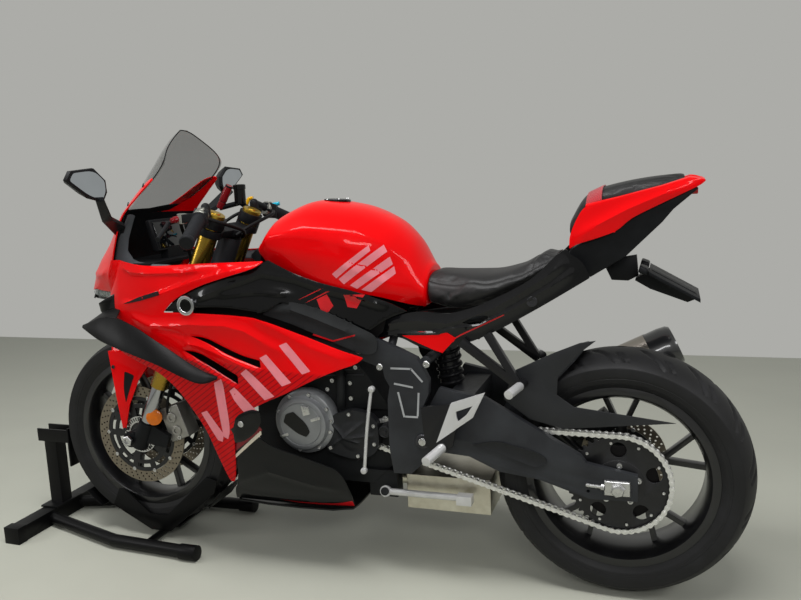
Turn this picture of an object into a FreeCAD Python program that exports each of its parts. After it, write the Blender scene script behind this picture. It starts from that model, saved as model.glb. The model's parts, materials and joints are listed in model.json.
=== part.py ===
import FreeCAD, Part
import math
import os

# Sport bike held upright in a front-wheel paddock stand.
# Millimetres. X points forward, Y to the rider's left, Z up from the floor.
# While it is built, X is counted from the rear axle; the last section moves the
# whole model so that the origin lies under the middle of its bounding box.

V = FreeCAD.Vector

# ---- driving dimensions -------------------------------------------------------------

WHEELBASE = 1416.0
FRONT_LIFT = 35.0
RUNNING_FIT = 0.05
MOVING_GAP = 6.0
SEAM = 0.5

# wheels
BEAD_R = 217.0
FLANGE_R = 232.0
WELL_DEPTH = 12.0
RIM_WALL = 4.0
REAR_SECTION = 98.0
REAR_TYRE_R = BEAD_R + REAR_SECTION
REAR_TYRE_HALF = 90.0
REAR_SHOULDER = 62.0
REAR_RIM_HALF = 77.0
FRONT_SECTION = 83.0
FRONT_TYRE_R = BEAD_R + FRONT_SECTION
FRONT_TYRE_HALF = 60.0
FRONT_SHOULDER = 46.0
FRONT_RIM_HALF = 52.0
FLANGE_T = 6.0
FRONT_AXLE_R = 10.0
REAR_AXLE_R = 12.5
HUB_R = 36.0
HUB_FRONT_HALF = 70.0
HUB_REAR_HALF = 86.0
SPOKE_COUNT = 5
SPOKE_FORK_R = 118.0
SPOKE_SPREAD_DEG = 12.5
SPOKE_STEM = 26.0
SPOKE_TINE = 13.0
SPOKE_THICK = 24.0

# brakes and drive
DISC_T = 5.0
DISC_FRONT_Y = 67.0
DISC_FRONT_R = 153.0
DISC_FRONT_IN = 120.0
DISC_REAR_Y = 83.0
DISC_REAR_R = 110.0
DISC_REAR_IN = 80.0
CHAIN_Y = 109.0
CHAIN_GAP = 16.0
CHAIN_PLATE_T = 2.5
CHAIN_BAND = 15.0
SPROCKET_R = 121.0
SPROCKET_T = 5.0
SPROCKET_TEETH = 46
DRIVE_SPROCKET_R = 41.0
DRIVE_X = 590.0
DRIVE_Z = 402.0

# steering and fork
RAKE_DEG = 25.5
FORK_HALF = 105.0
FORK_LEAD = 27.0
CLAMP_OFFSET = 14.0
STANCHION_R = 20.5
FORK_TUBE_R = 26.5
STEM_R = 13.0
TUBE_LOW = 197.0
TUBE_TOP = 752.0
LOWER_YOKE = 470.0
LOWER_YOKE_T = 42.0
UPPER_YOKE = 688.0
UPPER_YOKE_T = 22.0
BAR_R = 11.0
GRIP_R = 17.0
GRIP_INNER_Y = 212.0
BAR_TIP_Y = 340.0

# frame, swingarm and engine
PIVOT_X = 478.0
PIVOT_Z = 408.0
PIVOT_R = 10.0
ARM_Y = 122.0
ARM_T = 20.0
FRAME_T = 22.0
FRAME_Y = ARM_Y + ARM_T + 1.0
ENGINE_HALF = 112.0
HEAD_TUBE_R = 32.0

# ---- helpers ------------------------------------------------------------------------


def box(x0, x1, y0, y1, z0, z1):
    return Part.makeBox(x1 - x0, y1 - y0, z1 - z0, V(x0, y0, z0))


def rod(a, b, r):
    a, b = V(*a), V(*b)
    return Part.makeCylinder(r, (b - a).Length, a, b - a)


def join(shapes):
    first, rest = shapes[0], shapes[1:]
    return first.fuse(rest).removeSplitter() if rest else first


def bent_rod(points, r):
    """A round bar through the points, with a ball at each bend."""
    runs = [rod(a, b, r) for a, b in zip(points, points[1:])]
    bends = [Part.makeSphere(r, V(*p)) for p in points[1:-1]]
    return join(runs + bends)


def flat_bar(a, b, wide, thick, wide_end=None):
    """A bar from a to b, thick along Y; its width may taper towards b."""
    a, b = V(*a), V(*b)
    over = (b - a).cross(V(0, 1, 0)).normalize() / 2
    half = V(0, thick / 2, 0)
    end = wide if wide_end is None else wide_end
    ring = [a + over * wide, a - over * wide, b - over * end, b + over * end]
    wire = Part.makePolygon([p - half for p in ring + ring[:1]])
    return Part.Face(wire).extrude(half * 2)


def plate(outline, y0, y1):
    """The outline of (x, z) points, solid from y0 to y1."""
    low, high = min(y0, y1), max(y0, y1)
    wire = Part.makePolygon([V(x, low, z) for x, z in outline + outline[:1]])
    return Part.Face(wire).extrude(V(0, high - low, 0))


def slab(outline, z0, z1):
    """The outline of (x, y) points, solid from z0 to z1."""
    wire = Part.makePolygon([V(x, y, z0) for x, y in outline + outline[:1]])
    return Part.Face(wire).extrude(V(0, 0, z1 - z0))


def turned(profile, x, z):
    """A ring about the Y axis through (x, z); the profile holds (y, radius) points."""
    wire = Part.makePolygon([V(x, y, z + r) for y, r in profile + profile[:1]])
    return Part.Face(wire).revolve(V(x, 0, z), V(0, 1, 0), 360)


def disc(x, z, r, y0, y1):
    """A round disc across the bike from y0 to y1."""
    return Part.makeCylinder(r, abs(y1 - y0), V(x, min(y0, y1), z), V(0, 1, 0))


def closed_loft(wires):
    return Part.makeLoft(wires, True, True)


def arch(x, half, z_low, z_side, z_top):
    """A section across the bike at x: flat floor, upright sides and a round top."""
    p = [V(x, -half, z_low), V(x, half, z_low), V(x, half, z_side), V(x, -half, z_side)]
    top = Part.Arc(p[2], V(x, 0, z_top), p[3]).toShape()
    return Part.Wire([Part.makeLine(p[0], p[1]), Part.makeLine(p[1], p[2]), top,
                      Part.makeLine(p[3], p[0])])


def arch_body(stations):
    """A body through arch sections; columns: x, half width, floor, side top, crown."""
    return closed_loft([arch(*s) for s in stations])


def mirrored(shape):
    return shape.mirror(V(0, 0, 0), V(0, 1, 0))


def both(shape):
    return [shape, mirrored(shape)]


nodes = {}


def node(name, *shapes):
    """Keeps a named piece of the bike, as one solid or as solids that don't touch."""
    nodes[name] = Part.makeCompound(list(shapes)) if len(shapes) > 1 else shapes[0]


# ---- steering geometry --------------------------------------------------------------

FRONT_X = WHEELBASE
FRONT_Z = FRONT_TYRE_R + FRONT_LIFT
REAR_Z = REAR_TYRE_R
rake = math.radians(RAKE_DEG)
FORK_UP = V(-math.sin(rake), 0, math.cos(rake))
FORK_BACK = V(-math.cos(rake), 0, -math.sin(rake))
FORK_FOOT = V(FRONT_X, 0, FRONT_Z) + FORK_BACK * FORK_LEAD


def on_fork(s, y=0.0, back=0.0):
    """A point s up the fork's centre line, y across and back behind it."""
    p = FORK_FOOT + FORK_UP * s + FORK_BACK * back
    return (p.x, y, p.z)


def on_stem(s):
    return on_fork(s, 0.0, CLAMP_OFFSET)


# ---- wheels -------------------------------------------------------------------------


def tyre(x, z, radius, half, shoulder, bead):
    """Bead, short sidewall and round crown, closed over the bead seat."""
    seat, low, edge = BEAD_R + SEAM, FLANGE_R + 1, radius - shoulder
    rim_y = half * 0.98
    mid_y, mid_r = (bead + rim_y) / 2 + 3, (low + edge) / 2

    def at(y, r):
        return V(x, y, z + r)
    edges = [
        Part.makeLine(at(-bead, seat), at(bead, seat)),
        Part.makeLine(at(bead, seat), at(bead, low)),
        Part.Arc(at(bead, low), at(mid_y, mid_r), at(rim_y, edge)).toShape(),
        Part.Arc(at(rim_y, edge), at(0, radius), at(-rim_y, edge)).toShape(),
        Part.Arc(at(-rim_y, edge), at(-mid_y, mid_r), at(-bead, low)).toShape(),
        Part.makeLine(at(-bead, low), at(-bead, seat)),
    ]
    return Part.Face(Part.Wire(edges)).revolve(V(x, 0, z), V(0, 1, 0), 360)


def rim(x, z, half, hub_half, bore_r):
    """Barrel with flanges and a drop centre, hub, and five forked spokes."""
    bead = half - FLANGE_T
    well = BEAD_R - WELL_DEPTH
    inner = well - RIM_WALL
    barrel = turned([
        (-half, FLANGE_R), (-half, BEAD_R - RIM_WALL), (-bead + 18, inner), (bead - 18, inner),
        (half, BEAD_R - RIM_WALL), (half, FLANGE_R), (bead + SEAM, FLANGE_R), (bead + SEAM, BEAD_R),
        (bead - 14, BEAD_R), (bead - 24, well), (-bead + 24, well), (-bead + 14, BEAD_R),
        (-bead - SEAM, BEAD_R), (-bead - SEAM, FLANGE_R)], x, z)
    pieces = [disc(x, z, HUB_R, -hub_half, hub_half)]

    def polar(r, deg):
        a = math.radians(deg)
        return (x + r * math.cos(a), 0, z + r * math.sin(a))
    for k in range(SPOKE_COUNT):
        mid = 90 + 360 * k / SPOKE_COUNT
        pieces.append(flat_bar(polar(HUB_R - 8, mid), polar(SPOKE_FORK_R, mid), SPOKE_STEM + 6,
                               SPOKE_THICK, SPOKE_STEM))
        for side in (-1, 1):
            pieces.append(flat_bar(polar(SPOKE_FORK_R - 8, mid + side * 2.5),
                                   polar(inner + 2, mid + side * SPOKE_SPREAD_DEG),
                                   SPOKE_TINE, SPOKE_THICK))
    bore = disc(x, z, bore_r, -hub_half - 1, hub_half + 1)
    return barrel.fuse(pieces).cut(bore).removeSplitter()


def brake_disc(x, z, y, outer, inner, hub_r):
    """Friction ring and boss joined by five arms; y is its middle plane."""
    y0, y1 = y - DISC_T / 2, y + DISC_T / 2
    ring = disc(x, z, outer, y0, y1).cut(disc(x, z, inner, y0 - 1, y1 + 1))
    boss = disc(x, z, hub_r + 18, y0, y1).cut(disc(x, z, hub_r, y0 - 1, y1 + 1))
    arms = []
    for k in range(SPOKE_COUNT):
        a = math.radians(54 + 360 * k / SPOKE_COUNT)
        c, s = math.cos(a), math.sin(a)
        arms.append(flat_bar((x + (hub_r + 10) * c, y, z + (hub_r + 10) * s),
                             (x + (inner + 8) * c, y, z + (inner + 8) * s), 34, DISC_T, 16))
    return join([ring, boss] + arms)


def sprocket():
    """Toothed ring with round lightening holes and the cush-drive carrier behind it."""
    y0, y1 = CHAIN_Y - SPROCKET_T / 2, CHAIN_Y + SPROCKET_T / 2
    root, tip = SPROCKET_R - 5, SPROCKET_R + 3
    outline = []
    for k in range(SPROCKET_TEETH):
        for part, r in ((-0.34, root), (-0.12, tip), (0.12, tip), (0.34, root)):
            a = 2 * math.pi * (k + part) / SPROCKET_TEETH
            outline.append((r * math.cos(a), REAR_Z + r * math.sin(a)))
    ring = plate(outline, y0, y1)
    holes = []
    for k in range(SPOKE_COUNT):
        a = 2 * math.pi * k / SPOKE_COUNT + 0.3
        holes.append(disc(86 * math.cos(a), REAR_Z + 86 * math.sin(a), 19, y0 - 1, y1 + 1))
    carrier = disc(0, REAR_Z, 60, HUB_REAR_HALF, y1 + 3)
    bore = disc(0, REAR_Z, REAR_AXLE_R + RUNNING_FIT, HUB_REAR_HALF - 1, y1 + 9)
    return ring.cut(Part.makeCompound(holes)).fuse(carrier).cut(bore).removeSplitter()


node("front_tyre", tyre(FRONT_X, FRONT_Z, FRONT_TYRE_R, FRONT_TYRE_HALF, FRONT_SHOULDER,
                        FRONT_RIM_HALF - FLANGE_T))
node("front_rim", rim(FRONT_X, FRONT_Z, FRONT_RIM_HALF, HUB_FRONT_HALF,
                      FRONT_AXLE_R + RUNNING_FIT))
node("front_discs", *both(brake_disc(FRONT_X, FRONT_Z, DISC_FRONT_Y, DISC_FRONT_R,
                                     DISC_FRONT_IN, HUB_R)))
node("rear_tyre", tyre(0, REAR_Z, REAR_TYRE_R, REAR_TYRE_HALF, REAR_SHOULDER,
                       REAR_RIM_HALF - FLANGE_T))
node("rear_rim", rim(0, REAR_Z, REAR_RIM_HALF, HUB_REAR_HALF, REAR_AXLE_R + RUNNING_FIT))
node("rear_sprocket", sprocket())
node("rear_disc", brake_disc(0, REAR_Z, -DISC_REAR_Y, DISC_REAR_R, DISC_REAR_IN, HUB_R))

# ---- front fork, on the steered side ------------------------------------------------

LEG_R = 25.0
LEG_TOP = 72.0
AXLE_HALF = FORK_HALF + 28
MOUNT_ANGLE_DEG = 160.0

tubes = []
stanchions = []
bottoms = []
for y in (FORK_HALF, -FORK_HALF):
    tubes.append(rod(on_fork(TUBE_LOW, y), on_fork(TUBE_TOP, y), FORK_TUBE_R))
    stanchions.append(rod(on_fork(LEG_TOP, y), on_fork(TUBE_LOW, y), STANCHION_R))
    leg = rod(on_fork(-14, y), on_fork(LEG_TOP, y), LEG_R)
    lug = disc(FRONT_X, FRONT_Z, 24, y - 20, y + 20)
    web = flat_bar(on_fork(18, y), (FRONT_X, y, FRONT_Z), 44, 32)
    ear = flat_bar(on_fork(40, y), on_fork(52, y, 88), 70, 16, 40)
    bottoms += [leg, lug, web, ear]
axle = disc(FRONT_X, FRONT_Z, FRONT_AXLE_R, -AXLE_HALF, AXLE_HALF)
node("fork_tubes", *tubes)
node("fork_stanchions", *stanchions)
node("fork_bottoms", join([axle] + bottoms).cut(Part.makeCompound(stanchions)))


def yoke(s, thick, boss):
    """A triple clamp square to the fork, pierced for both fork tubes."""
    pieces = [rod(on_stem(s), on_stem(s + thick), 28)]
    for side in (1, -1):
        y = side * FORK_HALF
        pieces.append(rod(on_fork(s, y), on_fork(s + thick, y), FORK_TUBE_R + boss))
        bar = box(-22, 22, min(0, y), max(0, y), 0, thick)
        bar.rotate(V(0, 0, 0), V(0, 1, 0), -RAKE_DEG)
        bar.translate(V(*on_fork(s, 0.0, CLAMP_OFFSET / 2)))
        pieces.append(bar)
    return join(pieces).cut(Part.makeCompound(tubes))


stem = rod(on_stem(LOWER_YOKE + LOWER_YOKE_T / 2), on_stem(UPPER_YOKE + UPPER_YOKE_T / 2), STEM_R)
node("triple_clamps", join([yoke(LOWER_YOKE, LOWER_YOKE_T, 9), yoke(UPPER_YOKE, UPPER_YOKE_T, 8),
                            stem]))

# clip-on bars: a ring round the fork tube's top, a raised arm, the bar and its grip
BAR_RING = 714.0
BAR_RING_T = 30.0
BAR_RISE = 20.0
BAR_SWEEP = 52.0
BAR_DROP = 80.0

bars = []
grip_lines = []
for side in (1, -1):
    y = side * FORK_HALF
    ring = rod(on_fork(BAR_RING, y), on_fork(BAR_RING + BAR_RING_T, y), FORK_TUBE_R + 8)
    ring = ring.cut(Part.makeCompound(tubes))
    top = V(*on_fork(TUBE_TOP, y)) + V(0, 0, BAR_RISE)
    base = V(*on_fork(BAR_RING + BAR_RING_T / 2, y)) + V(0, side * (FORK_TUBE_R + 6), 0)
    post_top = V(base.x, base.y, top.z)
    tip = V(top.x - BAR_SWEEP, side * BAR_TIP_Y, top.z - BAR_DROP)
    inner = post_top + (tip - post_top) * ((GRIP_INNER_Y - abs(base.y)) / (BAR_TIP_Y - abs(base.y)))
    riser = rod(tuple(base), tuple(post_top), 13)
    bar = join([ring, riser, Part.makeSphere(13, post_top), rod(tuple(post_top), tuple(inner), BAR_R),
                rod(tuple(inner), tuple(tip), GRIP_R)])
    bars.append(bar.cut(Part.makeCompound(tubes)))
    grip_lines.append((post_top, inner, tip))
node("handlebars", *bars)

# clutch and brake levers with their perches; the brake side carries the master
# cylinder and its fluid cup ahead of the bar
LEVER_REACH = 95.0
LEVER_R = 6.0
PERCH_R = 19.0
PERCH_IN = 22.0
HINGE_REACH = 58.0
MASTER_R = 11.0
CUP_R = 17.0
CUP_TALL = 58.0
cup_foot = V(1140, -165, 1020)
master_low = V(1206, -152, 1010)
master_top = V(1166, -150, 1078)
controls = []
for side, (root, inner, tip), end_rise in zip((1, -1), grip_lines, (10, 48)):
    run = (tip - root).normalize()
    perch = inner - run * PERCH_IN
    ring = rod(tuple(perch - run * 12), tuple(perch + run * 12), PERCH_R).cut(
        rod(tuple(perch - run * 13), tuple(perch + run * 13), BAR_R))
    hinge = perch + V(HINGE_REACH, 0, -4)
    arm = flat_bar(tuple(perch + V(14, 0, -2)), tuple(hinge + V(8, 0, 0)), 22, 24)
    lever = bent_rod([tuple(hinge), tuple(inner + V(LEVER_REACH, 0, -6)),
                      tuple(tip + V(LEVER_REACH, -side * 18, end_rise))], LEVER_R)
    pieces = [ring, arm, lever]
    if side < 0:
        pieces += [rod(tuple(master_low), tuple(master_top), MASTER_R),
                   rod(tuple(cup_foot), tuple(cup_foot + V(0, 0, CUP_TALL)), CUP_R),
                   bent_rod([tuple(hinge), tuple(cup_foot + V(0, 0, 4)), tuple(master_low)], 8)]
    controls.append(join(pieces))
node("hand_controls", *[c.cut(Part.makeCompound(bars)) for c in controls])

# front mudguard: a hoop over the tyre with a blade down to each fork foot
GUARD_GAP = 12.0
GUARD_T = 3.0
guard_r = FRONT_TYRE_R + GUARD_GAP
half = FRONT_TYRE_HALF + 10
hoop = turned([(-half, FRONT_TYRE_R - 34), (-half + 14, guard_r - 8), (-22, guard_r + GUARD_T),
               (22, guard_r + GUARD_T), (half - 14, guard_r - 8), (half, FRONT_TYRE_R - 34),
               (half - GUARD_T, FRONT_TYRE_R - 34), (half - 16, guard_r - 11), (21, guard_r),
               (-21, guard_r), (-half + 16, guard_r - 11), (-half + GUARD_T, FRONT_TYRE_R - 34)],
              FRONT_X, FRONT_Z)
hoop = hoop.common(plate([(FRONT_X + 20, FRONT_Z), (FRONT_X + 110, FRONT_Z + 400),
                          (FRONT_X - 30, FRONT_Z + 400), (FRONT_X - 400, FRONT_Z + 330),
                          (FRONT_X - 420, FRONT_Z + 190)], -90, 90))
blade_y = DISC_FRONT_Y + DISC_T / 2 + MOVING_GAP + 1
blade_top = FRONT_Z + guard_r - 50
blades = []
for side in (1, -1):
    blades.append(plate([(FRONT_X + 84, blade_top), (FRONT_X - 44, blade_top - 6),
                         (FRONT_X - 54, FRONT_Z + 217), (FRONT_X - 18, FRONT_Z + 175),
                         (FRONT_X + 24, FRONT_Z + 95), (FRONT_X + 46, FRONT_Z + 17),
                         (FRONT_X + 58, FRONT_Z + 17), (FRONT_X + 70, FRONT_Z + 115)],
                        side * blade_y, side * (blade_y + GUARD_T)))
    blades.append(plate([(FRONT_X + 84, blade_top), (FRONT_X - 44, blade_top - 6),
                         (FRONT_X - 54, FRONT_Z + 217), (FRONT_X - 31, FRONT_Z + 193),
                         (FRONT_X + 78, FRONT_Z + 185)],
                        side * (half - GUARD_T), side * (blade_y + 1)))
node("front_fender", join([hoop] + blades))

# four-piston calipers that straddle the discs without touching them
calipers = []
for side in (1, -1):
    body = box(-42, 26, -32, 30, -52, 52).cut(
        box(-43, 2, -DISC_T / 2 - MOVING_GAP, DISC_T / 2 + MOVING_GAP, -53, 53))
    if side < 0:
        body = mirrored(body)
    body.rotate(V(0, 0, 0), V(0, 1, 0), -MOUNT_ANGLE_DEG)
    a = math.radians(MOUNT_ANGLE_DEG)
    body.translate(V(FRONT_X + 160 * math.cos(a), side * DISC_FRONT_Y, FRONT_Z + 160 * math.sin(a)))
    calipers.append(body)
node("front_calipers", *calipers)

# hoses and cables that stay with the bars: one down each fork leg to its caliper, and
# three that run from the perches to the front of the lower yoke
HOSE_R = 4.0
HOSE_BACK = FORK_TUBE_R + HOSE_R + 3
HOSE_START = LOWER_YOKE - 2
CABLE_R = 5.0


def hose(points, r):
    """A round hose on straight runs joined by tangent arcs, as wide as the runs allow."""
    pts = [V(*p) for p in points]
    edges = []
    here = pts[0]
    for a, b, c in zip(pts, pts[1:], pts[2:]):
        into, out = (b - a).normalize(), (c - b).normalize()
        turn = into.getAngle(out)
        reach = 0.45 * min((b - a).Length, (c - b).Length)
        bend_r = reach / math.tan(turn / 2)
        start, end = b - into * reach, b + out * reach
        middle = b + (out - into).normalize() * (bend_r / math.cos(turn / 2) - bend_r)
        edges += [Part.makeLine(here, start), Part.Arc(start, middle, end).toShape()]
        here = end
    edges.append(Part.makeLine(here, pts[-1]))
    ring = Part.Wire([Part.makeCircle(r, pts[0], pts[1] - pts[0])])
    return Part.Wire(edges).makePipeShell([ring], True, True)


def trimmed(piece, others):
    """The piece's main run, ended where it meets the others."""
    return max(piece.cut(others).Solids, key=lambda solid: solid.Volume)


brake_hoses = []
for side in (1, -1):
    y = side * FORK_HALF
    brake_hoses.append(hose([on_fork(HOSE_START, y, HOSE_BACK), on_fork(330, y, HOSE_BACK + 4),
                             on_fork(190, y, HOSE_BACK + 2), on_fork(130, y - side * 6, HOSE_BACK + 14),
                             on_fork(104, y - side * 16, HOSE_BACK + 30)], HOSE_R))
node("brake_hoses", *[trimmed(h, [nodes["front_calipers"]]) for h in brake_hoses])

CABLES = [
    # from the left perch, round the front of the head
    [(1092, 180, 1004), (1136, 160, 1006), (1182, 110, 980), (1196, 62, 925), (1200, 40, 860),
     (1212, 30, 800)],
    # from the left switches, behind the upper yoke
    [(1060, 184, 998), (1030, 164, 984), (1010, 120, 968), (1010, 62, 954), (1030, 18, 940),
     (1052, -8, 930)],
    # from the right switches, behind the upper yoke
    [(1060, -184, 998), (1024, -160, 994), (1002, -110, 988), (1012, -50, 973), (1034, -4, 956),
     (1056, 22, 936)],
    # from the right perch, round the front of the head
    [(1092, -180, 1004), (1136, -142, 994), (1178, -95, 960), (1192, -52, 905), (1204, -32, 850),
     (1214, -26, 800)],
]
cable_ends = [nodes["hand_controls"], nodes["handlebars"], nodes["triple_clamps"]]
node("control_cables", *[trimmed(hose(route, CABLE_R), cable_ends) for route in CABLES])


# ---- paddock stand: floor frame, post and wheel cradle ------------------------------

BEAM_X = 1820.0
BEAM_HALF = 225.0
BEAM_SIZE = 50.0
LEG_TUBE_R = 19.0
LEG_FRONT_HALF = 64.0
LEG_KNEE_X = 1480.0
LEG_KNEE_HALF = 165.0
LEG_END_X = 1205.0
LEG_END_HALF = 178.0
CAP_GROW = 4.0
CAP_LENGTH = 55.0
CROSSBAR_X = 1377.0
CROSSBAR_R = 11.0
POST_SIZE = 46.0
POST_TOP = 292.0
STOP_WIDE = 84.0
STOP_LOW = 195.0
STOP_T = 6.0
CRADLE_T = 4.0

leg_z = LEG_TUBE_R + CAP_GROW
cross_z = CROSSBAR_R + 4
stop_x = FRONT_X + FRONT_TYRE_R + MOVING_GAP + 2
floor_frame = [box(BEAM_X - BEAM_SIZE / 2, BEAM_X + BEAM_SIZE / 2, -BEAM_HALF, BEAM_HALF, 0, BEAM_SIZE)]
for side in (1, -1):
    floor_frame.append(bent_rod([(BEAM_X, side * LEG_FRONT_HALF, leg_z),
                                 (LEG_KNEE_X, side * LEG_KNEE_HALF, leg_z),
                                 (LEG_END_X, side * LEG_END_HALF, leg_z)], LEG_TUBE_R))
    floor_frame.append(rod((LEG_END_X - CAP_LENGTH / 2, side * LEG_END_HALF, leg_z),
                           (LEG_END_X + CAP_LENGTH / 2, side * LEG_END_HALF, leg_z),
                           LEG_TUBE_R + CAP_GROW))
    floor_frame.append(box(BEAM_X - BEAM_SIZE / 2 - 3, BEAM_X + BEAM_SIZE / 2 + 3,
                           min(side * (BEAM_HALF - 30), side * (BEAM_HALF + 5)),
                           max(side * (BEAM_HALF - 30), side * (BEAM_HALF + 5)), 0, BEAM_SIZE + 3))
floor_frame.append(rod((CROSSBAR_X, -LEG_KNEE_HALF, cross_z), (CROSSBAR_X, LEG_KNEE_HALF, cross_z),
                       CROSSBAR_R))
foot_plate = box(BEAM_X - 34, BEAM_X + 34, -60, 60, BEAM_SIZE, BEAM_SIZE + 6)
post = box(BEAM_X - POST_SIZE / 2, BEAM_X + POST_SIZE / 2, -POST_SIZE / 2, POST_SIZE / 2,
           BEAM_SIZE, POST_TOP)
yoke_arms = [box(stop_x + STOP_T, BEAM_X + 42, y, y + 6, POST_TOP - 22, POST_TOP + 20)
             for y in (-POST_SIZE / 2 - 6, POST_SIZE / 2)]
stop = box(stop_x, stop_x + STOP_T, -STOP_WIDE / 2, STOP_WIDE / 2, STOP_LOW, POST_TOP + 30)
node("stand_frame", join(floor_frame + [foot_plate, post, stop] + yoke_arms))

# two channel arms in a V: side plates beside the tyre, pans under it
cradle_y = FRONT_TYRE_HALF + MOVING_GAP
pan_r = FRONT_TYRE_R + MOVING_GAP + 1
pan_run = 70.0
cradle = []
for side in (1, -1):
    cradle.append(plate([(1548, 92), (1520, 150), (1500, 150), (1410, 76), (1350, 76), (1195, 215),
                         (1160, 205), (1172, 165), (1340, 24), (1412, 24)],
                        side * cradle_y, side * (cradle_y + CRADLE_T)))
for deg in (-48.0, -90.0 - 14, -141.0):
    a = math.radians(deg)
    pan = box(pan_r, pan_r + CRADLE_T, -cradle_y - 1, cradle_y + 1, -pan_run / 2, pan_run / 2)
    pan.rotate(V(0, 0, 0), V(0, 1, 0), -deg)
    pan.translate(V(FRONT_X, 0, FRONT_Z))
    cradle.append(pan)
pivot_hole = disc(CROSSBAR_X, cross_z, CROSSBAR_R, -200, 200)
node("stand_cradle", join(cradle).cut(pivot_hole))

# ---- frame, engine and exhaust ------------------------------------------------------

HEAD_LOW = LOWER_YOKE + LOWER_YOKE_T + MOVING_GAP
HEAD_TOP = UPPER_YOKE - MOVING_GAP
SPAR_FRONT_X = 905.0
HEAD_BRACE = 58.0
BRACE_S = 578.5

head_tube = rod(on_stem(HEAD_LOW), on_stem(HEAD_TOP), HEAD_TUBE_R)
head_bore = rod(on_stem(HEAD_LOW - 1), on_stem(HEAD_TOP + 1), STEM_R + RUNNING_FIT)
head_x, _, head_z = on_stem(BRACE_S)
spar_outline = [
    (SPAR_FRONT_X, 738), (SPAR_FRONT_X, head_z), (862, head_z), (833, 772), (602, 675), (533, 648),
    (486, 626), (471, 601), (456, 570), (458, 534), (474, 499), (462, 464), (442, 430), (452, 375),
    (512, 318), (560, 316), (569, 380), (569, 459), (568, 513), (561, 550), (573, 571), (578, 596),
    (687, 636), (788, 671)]
frame_pieces = [head_tube]
for side in (1, -1):
    y0, y1 = side * FRAME_Y, side * (FRAME_Y + FRAME_T)
    frame_pieces.append(plate(spar_outline, y0, y1))
    frame_pieces.append(slab([(SPAR_FRONT_X - 25, y0), (SPAR_FRONT_X - 25, y1), (SPAR_FRONT_X, y1),
                              (head_x + 8, side * 31), (head_x - 20, side * 4)],
                             head_z - HEAD_BRACE, head_z))
for x, z in ((470, 612), (532, 392)):
    frame_pieces.append(rod((x, -FRAME_Y - 2, z), (x, FRAME_Y + 2, z), 13))
rear_rails = []
for y in (92, -92):
    rear_rails.append(bent_rod([(560, y, 690), (330, y, 722), (128, y - y * 0.1, 835)], 11))
    frame_pieces.append(rod((560, y, 690), (560, (FRAME_Y + 4) * (1 if y > 0 else -1), 640), 11))
frame = join(frame_pieces + rear_rails).cut(head_bore)
pivot_bolt = disc(PIVOT_X, PIVOT_Z, PIVOT_R, -FRAME_Y - FRAME_T - 8, FRAME_Y + FRAME_T + 8)

# closed engine: one block with its side covers; the drive sprocket sits in a pocket
block = plate([(975, 505), (930, 610), (700, 640), (640, 560), (566, 455), (566, 330), (640, 262),
               (930, 262), (980, 330)], -ENGINE_HALF, ENGINE_HALF)
pocket = disc(DRIVE_X, DRIVE_Z, 66, CHAIN_Y - 16, ENGINE_HALF + 1)
lower_notch = box(400, 660, CHAIN_Y - 16, ENGINE_HALF + 1, 300, 470)
STAND_X = 600.0
STAND_Y = 118.0
STAND_Z = 245.0
STAND_LEAN_DEG = 16.0
STAND_PIN_R = 6.0
STAND_EAR = 12.0
STAND_EYE_R = 15.0
STAND_LEG = 212.0
STAND_LEG_R = 9.0
stand_lean = math.radians(STAND_LEAN_DEG)
STAND_AXIS = V(0, -math.cos(stand_lean), -math.sin(stand_lean))
stand_pin = V(STAND_X, STAND_Y, STAND_Z)


def along_pin(t):
    """A point t out from the side stand's bracket along its leaning pin."""
    p = stand_pin - STAND_AXIS * t
    return (p.x, p.y, p.z)


bracket = box(572, 652, 62, STAND_Y - 10, 225, 300)
pin = rod(along_pin(-30), along_pin(STAND_EAR + 7), STAND_PIN_R)
pin_head = rod(along_pin(STAND_EAR + 2), along_pin(STAND_EAR + 7), STAND_PIN_R + 5)
drive_sprocket = disc(DRIVE_X, DRIVE_Z, DRIVE_SPROCKET_R - 9, CHAIN_Y - 20, CHAIN_Y + 4)
engine = join([block, bracket, pin, pin_head]).cut(pocket).cut(lower_notch)
node("engine_block", join([engine, drive_sprocket]))
node("main_frame", frame.cut(pivot_bolt))

covers = [
    disc(816, 435, 88, ENGINE_HALF, ENGINE_HALF + 40).fuse(
        disc(816, 435, 68, ENGINE_HALF + 40, ENGINE_HALF + 62)),
    plate([(748, 450), (684, 476), (628, 466), (604, 436), (604, 384), (627, 352), (691, 340),
           (754, 358)], CHAIN_Y + 14, ENGINE_HALF + 40),
    mirrored(disc(770, 420, 96, ENGINE_HALF, ENGINE_HALF + 52)),
]
node("engine_covers", *covers)

header = bent_rod([(955, -8, 480), (1018, -8, 440), (1018, -8, 300), (950, -8, 238), (540, -20, 238)],
                  22).cut(block)
node("exhaust_pipes", join([header, box(323, 552, -106, 88, 190, 286),
                            bent_rod([(330, -84, 236), (292, -162, 254), (180, -174, 420), (52, -174, 520)], 20)]))
SILENCER_R = 58.0
silencer = rod((60, -174, 512), (-130, -202, 600), SILENCER_R)
node("silencer", silencer.cut(nodes["exhaust_pipes"]))
node("radiator", box(1022, 1056, -165, 165, 500, 760))

# ---- swingarm, axle, shock and chain ------------------------------------------------

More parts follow.
